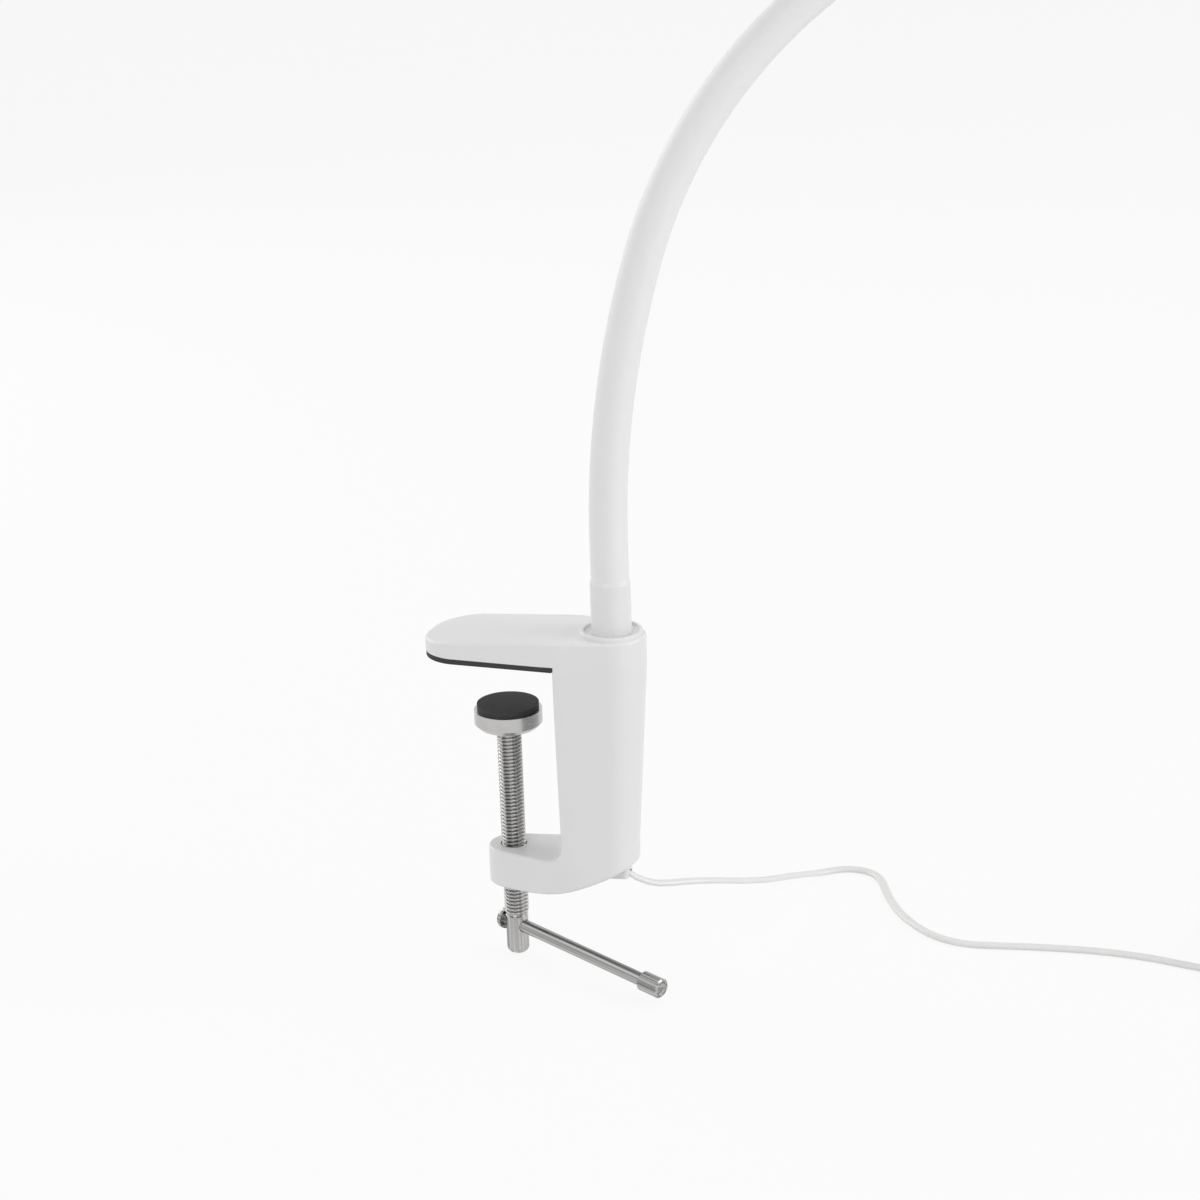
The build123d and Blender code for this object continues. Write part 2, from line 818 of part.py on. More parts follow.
end_ferrule = turned(
    head_frame,
    [
        (ferrule_bore, 0),
        (ferrule_r, 0),
        (ferrule_r, ferrule_taper - ferrule_long),
        (sleeve_r, -ferrule_long),
        (ferrule_lip_r, -ferrule_long),
        (ferrule_lip_r, -socket_step),
        (ferrule_bore, -socket_step),
    ],
)
save(end_ferrule, "end_ferrule")

with BuildPart() as head_cap:
    with BuildSketch(head_section):
        with BuildLine():
            Line((stud_r + fit_gap, 0), (head_cap_mouth_r, 0))
            ThreePointArc(
                (head_cap_mouth_r, 0), (0.81 * head_cap_r, 0.36 * head_cap_long), (head_cap_r, head_cap_long)
            )
            Line((head_cap_r, head_cap_long), (head_cap_r - head_wall, head_cap_long))
            Line((head_cap_r - head_wall, head_cap_long), (head_cap_r - head_wall, head_cap_step))
            ThreePointArc(
                (head_cap_r - head_wall, head_cap_step),
                (0.81 * head_cap_r - 1.15 * head_wall, 0.36 * head_cap_long + 0.135 * head_wall),
                (head_cap_mouth_r, head_floor),
            )
            Line((head_cap_mouth_r, head_floor), (stud_r + fit_gap, head_floor))
            Line((stud_r + fit_gap, head_floor), (stud_r + fit_gap, 0))
        make_face()
    revolve(axis=head_axis)
save(head_cap, "head_cap")

head_washer = turned(
    head_frame.offset(head_floor),
    [(stud_r + fit_gap, 0), (washer_r, 0), (washer_r, washer_thick), (stud_r + fit_gap, washer_thick)],
)
save(head_washer, "head_washer")
head_nut = hex_nut(head_frame.offset(head_floor + washer_thick), stud_r + fit_gap / 3)
save(head_nut, "head_nut")

spigot_r = head_cap_r - head_wall - fit_gap
with BuildPart() as head_shell:
    with BuildSketch(head_section):
        with BuildLine():
            Polyline(
                (head_cap_r, head_cap_long),
                (head_front_r, head_length),
                (head_front_r - head_wall, head_length),
                (shell_inner(ledge_front), ledge_front),
                (ledge_inner_r, ledge_front),
                (ledge_inner_r, ledge_back),
                (shell_inner(ledge_back), ledge_back),
                (shell_inner(head_cap_long + spigot_link), head_cap_long + spigot_link),
                (spigot_r - spigot_wall, head_cap_long + spigot_link),
                (spigot_r - spigot_wall, head_cap_long - spigot_long),
                (spigot_r, head_cap_long - spigot_long),
                (spigot_r, head_cap_long),
                close=True,
            )
        make_face()
    revolve(axis=head_axis)
    with BuildSketch(button_frame):
        Circle(button_r + fit_gap)
    extrude(amount=head_front_r, mode=Mode.SUBTRACT)
    for side in (-sink_screw_r, sink_screw_r):
        with BuildSketch(head_frame.offset(ledge_back)):
            with Locations((0, side)):
                Circle(small_screw_r + fit_gap / 3)
        extrude(amount=ledge_thick, mode=Mode.SUBTRACT)
save(head_shell, "head_shell")

with BuildPart() as heat_sink:
    with BuildSketch(head_frame.offset(sink_fin_back)):
        Circle(sink_core_r)
        with PolarLocations(sink_fin_r / 2, sink_fins):
            Rectangle(sink_fin_r, sink_fin_thick)
        with Locations((shelf_r / 2, 0)):
            Rectangle(shelf_r, 2 * shelf_half)
    extrude(amount=ledge_front - sink_fin_back)
    with BuildSketch(head_frame.offset(ledge_front)):
        Circle(sink_disc_r)
    extrude(amount=sink_disc_thick)
    with BuildSketch(head_frame.offset(ledge_front)):
        with Locations((0, sink_screw_r), (0, -sink_screw_r)):
            Circle(small_screw_r + fit_gap)
    extrude(amount=sink_disc_thick, mode=Mode.SUBTRACT)
    with BuildSketch(head_frame.offset(sink_front)):
        with Locations((0, board_screw_r), (0, -board_screw_r)):
            Circle(small_screw_r + fit_gap / 3)
    extrude(amount=-board_screw_bite, mode=Mode.SUBTRACT)
save(heat_sink, "heat_sink")

sink_screws = pan_screws(
    [
        Plane(origin=head_frame.from_local_coords((0, side, sink_front)), z_dir=head_frame.z_dir)
        for side in (-sink_screw_r, sink_screw_r)
    ],
    small_screw_r,
    sink_disc_thick + ledge_thick,
)
save(sink_screws, "sink_screws")

with BuildPart() as terminal_block:
    with BuildSketch(head_frame.offset(sink_fin_back)):
        Rectangle(terminal_deep, terminal_wide)
    extrude(amount=-terminal_tall)
save(terminal_block, "terminal_block")

board_screw_frames = [
    Plane(origin=head_frame.from_local_coords((0, side, board_front)), z_dir=head_frame.z_dir)
    for side in (-board_screw_r, board_screw_r)
]
with BuildPart() as led_board:
    with BuildSketch(head_frame.offset(sink_front)):
        Circle(board_r)
        with Locations((0, board_screw_r), (0, -board_screw_r)):
            Circle(small_screw_r + fit_gap, mode=Mode.SUBTRACT)
    extrude(amount=board_sheet)
save(led_board, "led_board")

board_screws = pan_screws(board_screw_frames, small_screw_r, board_sheet + board_screw_bite)
save(board_screws, "board_screws")

led_chip = turned(
    head_frame,
    [
        (0, board_front),
        (led_r, board_front),
        (led_r, board_front + 0.6 * led_thick),
        (0.7 * led_r, board_front + led_thick),
        (0, board_front + led_thick),
    ],
)
save(led_chip, "led_chip")

reflector_mid = board_front + 0.36 * (reflector_front - board_front)
with BuildPart() as reflector:
    with BuildSketch(head_section):
        with BuildLine():
            Line((reflector_base_r, board_front), (reflector_base_r + reflector_wall, board_front))
            ThreePointArc(
                (reflector_base_r + reflector_wall, board_front),
                (0.74 * reflector_rim_r, reflector_mid - 0.4 * reflector_wall),
                (reflector_rim_r, reflector_front),
            )
            Line((reflector_rim_r, reflector_front), (reflector_rim_r - reflector_wall, reflector_front))
            ThreePointArc(
                (reflector_rim_r - reflector_wall, reflector_front),
                (0.74 * reflector_rim_r - reflector_wall, reflector_mid + 0.2 * reflector_wall),
                (reflector_base_r, board_front),
            )
        make_face()
    revolve(axis=head_axis)
save(reflector, "reflector")

diffuser = turned(
    head_frame,
    [(0, reflector_front), (diffuser_r, reflector_front), (diffuser_r, diffuser_front), (0, diffuser_front)],
)
save(diffuser, "diffuser")

bezel_seat_r = diffuser_r + fit_gap
bezel = turned(
    head_frame,
    [
        (bezel_seat_r, head_length - bezel_spigot_long),
        (bezel_spigot_r, head_length - bezel_spigot_long),
        (bezel_spigot_r, head_length),
        (head_front_r, head_length),
        (head_front_r, bezel_front - edge_round),
        (head_front_r - edge_round, bezel_front),
        (bezel_lip_r, bezel_front),
        (bezel_lip_r, diffuser_front),
        (bezel_seat_r, diffuser_front),
    ],
)
save(bezel, "bezel")

with BuildPart() as switch_body:
    with BuildSketch(button_frame.offset(shelf_r)):
        Rectangle(2 * switch_half, 2 * switch_half)
    extrude(amount=switch_tall)
save(switch_body, "switch_body")

switch_button = turned(
    button_frame,
    [
        (0, button_bottom),
        (button_flange_r, button_bottom),
        (button_flange_r, button_bottom + button_flange),
        (button_r, button_bottom + button_flange),
        (button_r, button_top - button_edge),
        (button_r - button_edge, button_top),
        (0, button_top),
    ],
)
save(switch_button, "switch_button")

# Cord from the outlet to the coil
coil_base = floor_z + tie_thick + running_gap + cord_r
lay = floor_z + cord_r + 0.1
cord_route = [
    cord_start,
    cord_first_turn,
    (cord_exit_x + 16.3, 16.4, cord_exit_z - 8),
    (69.3, 45.2, floor_z + 15),
    (74.3, 66.9, floor_z + 8.5),
    (77.6, 86.9, lay),
    (84.5, 93.1, lay),
    (92.4, 93.9, lay),
    (99.2, 89.7, lay),
    (105.9, 74.5, lay),
    (114.4, 60.8, lay),
    (126.8, 49.2, lay),
    (138.4, 45.4, lay),
    (149.1, 47.4, lay),
    (163.8, 50.6, lay),
    (183.1, 53.4, lay),
    (200, 53, lay),
    (216, 50, lay),
    (232, coil_y - coil_outer_r, coil_base),
    (coil_x, coil_y - coil_outer_r, coil_base),
]


def corner_radii(points):
    """Bend radius at each inner point of a route, as large as its two runs allow."""
    radii = []
    for before, here, after in zip(points, points[1:], points[2:]):
        run_in, run_out = Vector(here) - Vector(before), Vector(after) - Vector(here)
        turn = math.radians(run_in.get_angle(run_out))
        radii.append(0.45 * min(run_in.length, run_out.length) / math.tan(turn / 2))
    return radii


cord_radii = corner_radii(cord_route)
print("cord bend radii", [round(r, 1) for r in cord_radii])
with BuildPart() as cord_lead:
    with BuildLine() as cord_line:
        FilletPolyline(*cord_route, radius=cord_radii)
    with BuildSketch(cord_frame):
        Circle(cord_r)
    sweep(path=cord_line.wire())
print("cord lead", cord_line.wire().length, cord_lead.part.volume / (math.pi * cord_r ** 2))
save(cord_lead, "cord_lead")

# Coil: layers of loops that run in and out in turn, climbing in the half turn where they reverse
coil_turns = coil_layers * coil_layer_turns + coil_lead_turn
coil_inner_r = coil_outer_r - coil_step * coil_layer_turns


def coil_point(turn):
    """Point of the coil's centre line after a number of turns."""
    layer = min(int(turn / coil_layer_turns), coil_layers - 1)
    along = turn - layer * coil_layer_turns
    radius = coil_inner_r + coil_step * along if layer % 2 else coil_outer_r - coil_step * along
    climbs = [4 * (turn - n * coil_layer_turns) / 2 + 0.5 for n in range(1, coil_layers)]
    steps = [min(max(climb, 0.0), 1.0) for climb in climbs]
    height = coil_layer_step * sum(step * step * (3 - 2 * step) for step in steps)
    angle = math.tau * turn - math.pi / 2
    return Vector(coil_x + radius * math.cos(angle), coil_y + radius * math.sin(angle), coil_base + height)


def coil_tangent(turn):
    """Direction of the coil's centre line; level and square to the radius at its two ends."""
    if turn in (0, coil_turns):
        return Vector(-math.sin(math.tau * turn - math.pi / 2), math.cos(math.tau * turn - math.pi / 2), 0)
    return (coil_point(turn + 1e-4) - coil_point(turn - 1e-4)).normalized()


coil_marks = [n / 4 for n in range(round(4 * coil_turns) + 1)]
with BuildPart() as cord_coil:
    with BuildLine() as coil_line:
        for first, last in zip(coil_marks, coil_marks[1:]):
            here, there = coil_point(first), coil_point(last)
            out, back = coil_tangent(first), coil_tangent(last)
            span, both = there - here, out + back
            bend = 2 * (1 - out.dot(back))
            reach = (math.sqrt(span.dot(both) ** 2 + bend * span.dot(span)) - span.dot(both)) / bend
            middle = (here + out * reach + there - back * reach) / 2
            TangentArc(here, middle, tangent=out)
            TangentArc(middle, there, tangent=there - back * reach - here - out * reach)
    with BuildSketch(Plane(origin=coil_point(0), z_dir=coil_tangent(0))):
        Circle(cord_r)
    sweep(path=coil_line.wire())
coil_length = coil_line.wire().length
print("coil", coil_length, cord_coil.part.volume / (math.pi * cord_r ** 2))
coil_samples = [coil_point(coil_turns * n / 1200) for n in range(1201)]
least = min(
    (one - other).length
    for n, one in enumerate(coil_samples)
    for other in coil_samples[n + 50 :]
)
print("coil least gap", round(least - 2 * cord_r, 2))
save(cord_coil, "cord_coil")

with BuildPart() as cord_tie:
    tie_low = coil_inner_r - cord_r - tie_slack
    tie_high = coil_outer_r + cord_r
    tie_middle = coil_base + 0.5 * (coil_layers - 1) * coil_layer_step
    tie_tall = (coil_layers - 1) * coil_layer_step + 2 * (cord_r + running_gap)
    out = Vector(math.cos(math.radians(tie_angle)), math.sin(math.radians(tie_angle)), 0)
    tie_centre = Vector(coil_x, coil_y, tie_middle) + out * (0.5 * (tie_low + tie_high))
    with BuildSketch(Plane(origin=tie_centre, x_dir=out, z_dir=out.cross(Vector(0, 0, 1)))):
        RectangleRounded(tie_high - tie_low + 2 * tie_thick, tie_tall + 2 * tie_thick, 2 * tie_thick)
        RectangleRounded(tie_high - tie_low, tie_tall, tie_thick, mode=Mode.SUBTRACT)
    extrude(amount=tie_wide / 2, both=True)
save(cord_tie, "cord_tie")

# Tail of the cord and the plug-in adapter
tail_frame = Plane(origin=coil_point(coil_turns), x_dir=(1, 0, 0), z_dir=(0, 1, 0))
relief_frame = tail_frame.offset(tail_long)
adapter_frame = relief_frame.offset(relief_long)
with BuildPart() as cord_tail:
    with BuildSketch(tail_frame):
        Circle(cord_r)
    extrude(amount=tail_long + relief_grip)
save(cord_tail, "cord_tail")
print("cord total", cord_line.wire().length + coil_length + tail_long + relief_grip)

relief_inside = relief_long + adapter_wall + fit_gap
adapter_relief = turned(
    relief_frame,
    [
        (0, relief_grip),
        (cord_r + fit_gap / 3, relief_grip),
        (cord_r + fit_gap / 3, 0),
        (relief_tip_r, 0),
        (relief_root_r, relief_long),
        (relief_neck_r, relief_long),
        (relief_neck_r, relief_inside),
        (relief_flange_r, relief_inside),
        (relief_flange_r, relief_inside + relief_flange),
        (0, relief_inside + relief_flange),
    ],
)
save(adapter_relief, "adapter_relief")


def adapter_half(up):
    """Upper or lower shell of the adapter, with half of every opening along the joint."""
    with BuildPart() as shell:
        with BuildSketch(adapter_frame):
            Rectangle(adapter_wide, adapter_tall)
        extrude(amount=adapter_long)
        fillet(edges(), adapter_round)
        with BuildSketch(adapter_frame.offset(adapter_wall)):
            Rectangle(adapter_wide - 2 * adapter_wall, adapter_tall - 2 * adapter_wall)
        extrude(amount=adapter_long - 2 * adapter_wall, mode=Mode.SUBTRACT)
        with BuildSketch(adapter_frame):
            Circle(relief_neck_r + fit_gap)
        extrude(amount=adapter_wall, mode=Mode.SUBTRACT)
        with BuildSketch(adapter_frame.offset(adapter_long)):
            with Locations((-pin_spacing / 2, 0), (pin_spacing / 2, 0)):
                Circle(pin_root_r + fit_gap / 3)
        extrude(amount=-adapter_wall, mode=Mode.SUBTRACT)
        split(bisect_by=Plane(origin=adapter_frame.origin), keep=Keep.TOP if up else Keep.BOTTOM)
    return shell


save(adapter_half(False), "adapter_base")
save(adapter_half(True), "adapter_lid")

core_side = 1 if adapter_frame.y_dir.Z < 0 else -1
with BuildPart() as adapter_core:
    with BuildSketch(adapter_frame.offset(2 * adapter_wall + relief_flange)):
        with Locations((0, core_side * (0.5 * (adapter_tall - core_tall) - adapter_wall))):
            Rectangle(core_wide, core_tall)
    extrude(amount=core_long)
save(adapter_core, "adapter_core")

with BuildPart() as plug_pins:
    for side in (-pin_spacing / 2, pin_spacing / 2):
        with BuildSketch(adapter_frame.offset(adapter_long - pin_rooted)):
            with Locations((side, 0)):
                Circle(pin_r)
        extrude(amount=pin_rooted + pin_long)
        steps = ((pin_root_r, pin_rooted + pin_shoulder), (pin_flange_r, pin_rooted - adapter_wall))
        for radius, reach in steps:
            with BuildSketch(adapter_frame.offset(adapter_long - pin_rooted)):
                with Locations((side, 0)):
                    Circle(radius)
            extrude(amount=reach)
    fillet(edges().filter_by(GeomType.CIRCLE).group_by(Axis.Y)[-1], 0.5 * pin_r)
save(plug_pins, "plug_pins")
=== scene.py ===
"""Looks of a clamp-on gooseneck lamp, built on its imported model. Units are metres, in the model's frame."""
import json
import math

import bmesh
import bpy
from bpy.props import FloatProperty, FloatVectorProperty, IntProperty, PointerProperty
from mathutils import Matrix, Vector


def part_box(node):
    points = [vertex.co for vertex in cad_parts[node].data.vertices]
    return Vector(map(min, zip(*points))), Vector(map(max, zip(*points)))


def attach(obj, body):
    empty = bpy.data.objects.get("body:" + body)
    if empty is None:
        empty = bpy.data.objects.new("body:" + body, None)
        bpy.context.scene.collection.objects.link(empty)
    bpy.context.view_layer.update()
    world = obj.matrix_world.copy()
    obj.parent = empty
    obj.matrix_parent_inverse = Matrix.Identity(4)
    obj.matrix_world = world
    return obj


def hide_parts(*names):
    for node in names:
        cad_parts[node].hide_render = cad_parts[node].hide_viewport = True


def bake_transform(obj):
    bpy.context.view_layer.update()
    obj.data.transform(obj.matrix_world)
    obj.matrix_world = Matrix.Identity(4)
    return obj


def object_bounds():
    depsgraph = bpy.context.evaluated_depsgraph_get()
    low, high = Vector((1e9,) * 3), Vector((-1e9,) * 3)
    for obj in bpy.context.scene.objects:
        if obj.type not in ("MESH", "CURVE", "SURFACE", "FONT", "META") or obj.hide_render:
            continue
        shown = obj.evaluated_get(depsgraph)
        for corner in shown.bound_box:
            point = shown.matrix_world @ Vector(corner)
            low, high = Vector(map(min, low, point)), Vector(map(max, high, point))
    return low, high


bl_info = {
    "name": "Gooseneck clamp lamp",
    "version": (1, 0, 0),
    "blender": (4, 5, 0),
    "location": "3D View > Sidebar > Lamp",
    "description": "Dresses the packed lamp: cord, neck, screw, finishes and stage",
    "category": "Object",
}

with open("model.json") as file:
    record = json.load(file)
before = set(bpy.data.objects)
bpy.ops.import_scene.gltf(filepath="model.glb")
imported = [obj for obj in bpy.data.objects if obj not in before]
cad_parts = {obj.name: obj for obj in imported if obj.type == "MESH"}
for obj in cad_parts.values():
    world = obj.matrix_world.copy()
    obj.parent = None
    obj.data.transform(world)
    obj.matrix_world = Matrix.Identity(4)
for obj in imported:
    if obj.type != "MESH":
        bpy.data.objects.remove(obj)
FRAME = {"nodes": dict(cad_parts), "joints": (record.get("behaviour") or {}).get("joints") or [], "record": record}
CAD_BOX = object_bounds()
NODES = FRAME["nodes"]
JOINTS = {joint["name"]: joint for joint in FRAME["joints"]}
MM = 0.001
UP = Vector((0, 0, 1))
WHITE = (1.0, 1.0, 1.0, 1.0)

# Camera, at the photograph's viewing angle
CAMERA_AT = (0.3487, -0.8160, 0.3155)
CAMERA_FORWARD = (-0.3420, 0.8838, -0.3194)
CAMERA_UP = (-0.0846, 0.3096, 0.9471)
LENS_MM = 88.3
SENSOR_MM = 36.0

# Cord: the same route and coil as the solids, in millimetres
FLOOR_Z = CAD_BOX[0][2]
CORD_ROUTE = [
    (38.98, -0.44, -70.92),
    (44.7, 2.5, -76.8),
    (56.7, 16.4, -79.1),
    (69.3, 45.2, -90.4),
    (74.3, 66.9, -96.9),
    (77.6, 86.9, -104.2),
    (84.5, 93.1, -104.2),
    (92.4, 93.9, -104.2),
    (99.2, 89.7, -104.2),
    (105.9, 74.5, -104.2),
    (114.4, 60.8, -104.2),
    (126.8, 49.2, -104.2),
    (138.4, 45.4, -104.2),
    (149.1, 47.4, -104.2),
    (163.8, 50.6, -104.2),
    (183.1, 53.4, -104.2),
    (200.0, 53.0, -104.2),
    (216.0, 50.0, -104.2),
    (232.0, 47.0, -102.8),
]
COIL_CENTRE = (248.0, 72.0, -102.8)
COIL_OUTER_R = 25.0
COIL_STEP = 3.7
COIL_LAYER_STEP = 3.6
COIL_LAYERS = 4
COIL_LAYER_TURNS = 3
COIL_LEAD_TURN = 0.25
COIL_CLIMB_TURNS = 0.5
COIL_POINTS_PER_TURN = 24
CORD_TAIL = (6.0, 13.0, 20.0)
CORD_LINE_ORDER = 3
CORD_LINE_STEPS = 4
CORD_HALF_POINTS = 9
CORD_GROOVE = 0.9
CORD_GROOVE_LIMIT = 0.98
CORD_CREASE = 60.0
TWIST = math.pi
TWIST_START = 310.0 * MM
TWIST_LENGTH = 50.0 * MM

# Neck: the same centre line as the solids
NECK_ROOT = Vector((36.5, 0.0, 11.4)) * MM
NECK_AZIMUTH = math.radians(30.0)
NECK_STRAIGHT = 30.0 * MM
NECK_BENDS = ((300.0 * MM, 17.0), (150.0 * MM, 50.0), (132.0 * MM, 65.0))
NECK_TAIL = 20.0 * MM
NECK_RUNS = (
    [(None, NECK_STRAIGHT)] + [(r, r * math.radians(turn)) for r, turn in NECK_BENDS] + [(None, NECK_TAIL)]
)
NECK_LENGTH = sum(length for _, length in NECK_RUNS)
NECK_SIDE = Vector((math.cos(NECK_AZIMUTH), math.sin(NECK_AZIMUTH), 0))
NECK_ACROSS = Vector((-math.sin(NECK_AZIMUTH), math.cos(NECK_AZIMUTH), 0))
NECK_JOINTS = [joint for joint in FRAME["joints"] if joint["name"].startswith("neck_bend")]
NECK_JOINT_FIRST = 50.0 * MM
NECK_JOINT_STEP = 62.0 * MM
NECK_CREASE = 40.0
FERRULE_LONG = 16.9 * MM
SLEEVE_SIDES = 48
SLEEVE_STEP = 1.5 * MM
WIRE_START = -37.4 * MM
WIRE_END = NECK_LENGTH + 18.0 * MM
WIRE_OFFSET = 1.5 * MM
WIRE_RADIUS = 0.9 * MM
WIRE_SIDES = 14
WIRE_STEP = 3.0 * MM

# Clamp screw and its bar
SCREW_CREST = 4.0 * MM
SCREW_PLAIN = 3.7 * MM
SCREW_PIN = 2.5 * MM
SCREW_DOME = 2.4 * MM
SCREW_PLAIN_TOP = -91.5 * MM
SCREW_SHOULDER = -25.2 * MM
SCREW_STEP = 0.2 * MM
SCREW_LAP = 1.0 * MM
SCREW_DOME_STEPS = 10
SCREW_END_SIDES = 64
SCREW_PIN_SIDES = 40
THREAD_STEPS = 8
THREAD_SIDES = 48
THREAD_HALF_CREST = 0.125
THREAD_FLANK = 0.25
BAR_Z = -94.7 * MM
BAR_HOLE = 2.25 * MM
BAR_HOLE_REACH = 20.0 * MM
BAR_HOLE_SIDES = 40
STEEL_CREASE = 34.0

# Screw recesses and the adapter's strain relief, whose ribs' thickness is a share of their ring
RECESS_Y = 5.0 * MM
RECESS_LONG = 2.0 * MM
RECESS_WIDE = 0.45 * MM
RECESS_DEEP = 0.7 * MM
RELIEF_FIRST = 2.5 * MM
RELIEF_LAST = 20.5 * MM
RELIEF_FIRST_R = 2.7 * MM
RELIEF_LAST_R = 4.2 * MM
RELIEF_RIB_THICK = 0.17
RELIEF_RIB_SIDES = 40
RELIEF_RIB_SECTION_SIDES = 12

# Meshes: points closer than the first are one, edges shorter than the second go
WELD = 1e-6
EMPTY = 1e-7

# Stage: lamps as name, place, aim, size and power
FLOOR_HALF = 6.0
FLOOR_SHADE = 0.82
FLOOR_LIFT = 0.88
AMBIENT = 0.42
LAMPS = (
    ("front", (-0.1, -1.2, 0.55), (0.05, 0.0, 0.0), 0.9, 5.2),
    ("side", (1.9, 0.35, 0.75), (0.05, 0.0, 0.05), 1.2, 18.0),
    ("left", (-1.05, 0.45, 0.5), (0.0, 0.0, 0.05), 0.8, 4.5),
    ("top", (0.15, 0.25, 1.35), (0.05, 0.0, 0.0), 1.2, 3.0),
)
FINISHES = {}

# A Mix node's sockets where it mixes colours
MIX_SHARE, MIX_FIRST, MIX_SECOND, MIX_RESULT = 0, 6, 7, 2


def length_setting(label, use, value):
    """A size that the user can change."""
    return FloatProperty(name=label, description=use, default=value, unit="LENGTH", precision=5)


class LampSizes(bpy.types.PropertyGroup):
    """Sizes of the pieces that the looks add."""

    cord_width: length_setting("Cord width", "Width of the flat twin cord", 3.0 * MM)
    cord_core: length_setting("Cord core", "Diameter of one half of the twin cord", 1.75 * MM)
    sleeve_radius: length_setting("Sleeve radius", "Outer radius of the neck's sleeve", 6.0 * MM)
    sleeve_wall: length_setting("Sleeve wall", "Thickness of the neck's sleeve", 1.0 * MM)
    bend_reach: length_setting(
        "Bend reach", "Neck on each side of a joint over which the sleeve bends", 15.0 * MM
    )
    thread_pitch: length_setting("Thread pitch", "Rise of the clamp screw in one turn", 1.25 * MM)
    thread_depth: length_setting("Thread depth", "Depth of the clamp screw's thread", 0.62 * MM)
    relief_ribs: IntProperty(
        name="Relief ribs", description="Ribs on the adapter's strain relief", default=7, min=2, max=12
    )


def colour_setting(label, use, value):
    """A colour that the user can change."""
    return FloatVectorProperty(
        name=label, description=use, subtype="COLOR", size=3, min=0.0, max=1.0, default=value
    )


class LampColours(bpy.types.PropertyGroup):
    """Base colours of the finishes."""

    body: colour_setting("Body", "Moulded plastic of the clamp and head", (0.80, 0.80, 0.80))
    sleeve: colour_setting("Sleeve", "Soft sleeve over the neck", (0.82, 0.82, 0.82))
    cord: colour_setting("Cord", "Jacket of the cord", (0.82, 0.82, 0.81))
    rubber: colour_setting("Rubber", "Pads on the jaw and the foot", (0.02, 0.02, 0.02))
    steel: colour_setting("Steel", "Plated screw, nuts and foot", (0.54, 0.535, 0.53))
    # The tommy bar's colour is set darker than polished steel's own, to stand in for dark reflections: partly the
    # steel's colour, partly painted shade.
    bright: colour_setting("Bright steel", "Polished tommy bar", (0.30, 0.298, 0.295))
    brass: colour_setting("Brass", "Turned brass fittings", (0.72, 0.53, 0.25))
    aluminium: colour_setting("Aluminium", "Heat sink", (0.70, 0.70, 0.72))
    conduit: colour_setting("Conduit", "Bendable core of the neck", (0.38, 0.38, 0.39))
    wire: colour_setting("Wire", "Insulation of the wires in the neck", (0.42, 0.04, 0.03))
    splice: colour_setting("Splice", "Insulated crimps", (0.05, 0.10, 0.42))
    board: colour_setting("Board", "Solder mask of the light's board", (0.76, 0.77, 0.74))
    phosphor: colour_setting("Phosphor", "Face of the light source", (0.85, 0.68, 0.12))
    mirror: colour_setting("Mirror", "Coated reflector", (0.88, 0.88, 0.89))
    lens: colour_setting("Lens", "Frosted front of the head", (0.90, 0.91, 0.92))
    dark: colour_setting("Dark plastic", "Switch, terminal and adapter parts", (0.03, 0.03, 0.03))
    tie: colour_setting("Tie", "Coated tie around the coil", (0.04, 0.04, 0.04))


class Value:
    """A number in a node tree. Expressions on it add Math nodes."""

    def __init__(self, tree, socket):
        self.tree = tree
        self.socket = socket

    def math(self, operation, first, second):
        return self.tree.node("ShaderNodeMath", {"operation": operation}, {0: first, 1: second}).value()

    def __add__(self, other):
        return self.math("ADD", self, other)

    __radd__ = __add__

    def __sub__(self, other):
        return self.math("SUBTRACT", self, other)

    def __rsub__(self, other):
        return self.math("SUBTRACT", other, self)

    def __mul__(self, other):
        return self.math("MULTIPLY", self, other)

    __rmul__ = __mul__

    def larger(self, other):
        """The larger of two numbers."""
        return self.math("MAXIMUM", self, other)


class Added:
    """A node that has been added, with its outputs."""

    def __init__(self, tree, node):
        self.tree = tree
        self.node = node

    def value(self, output=0):
        return Value(self.tree, self.node.outputs[output])


class Tree:
    """A node tree, built from nothing."""

    def __init__(self, tree):
        self.links = tree.links
        self.nodes = tree.nodes
        self.nodes.clear()

    def node(self, kind, settings=None, inputs=None):
        """Add a node: its settings first, then the values or links of its sockets."""
        added = self.nodes.new(kind)
        for key, value in (settings or {}).items():
            setattr(added, key, value)
        for key, value in (inputs or {}).items():
            if isinstance(value, Value):
                self.links.new(value.socket, added.inputs[key])
            elif isinstance(value, Added):
                self.links.new(value.node.outputs[0], added.inputs[key])
            else:
                added.inputs[key].default_value = value
        return Added(self, added)


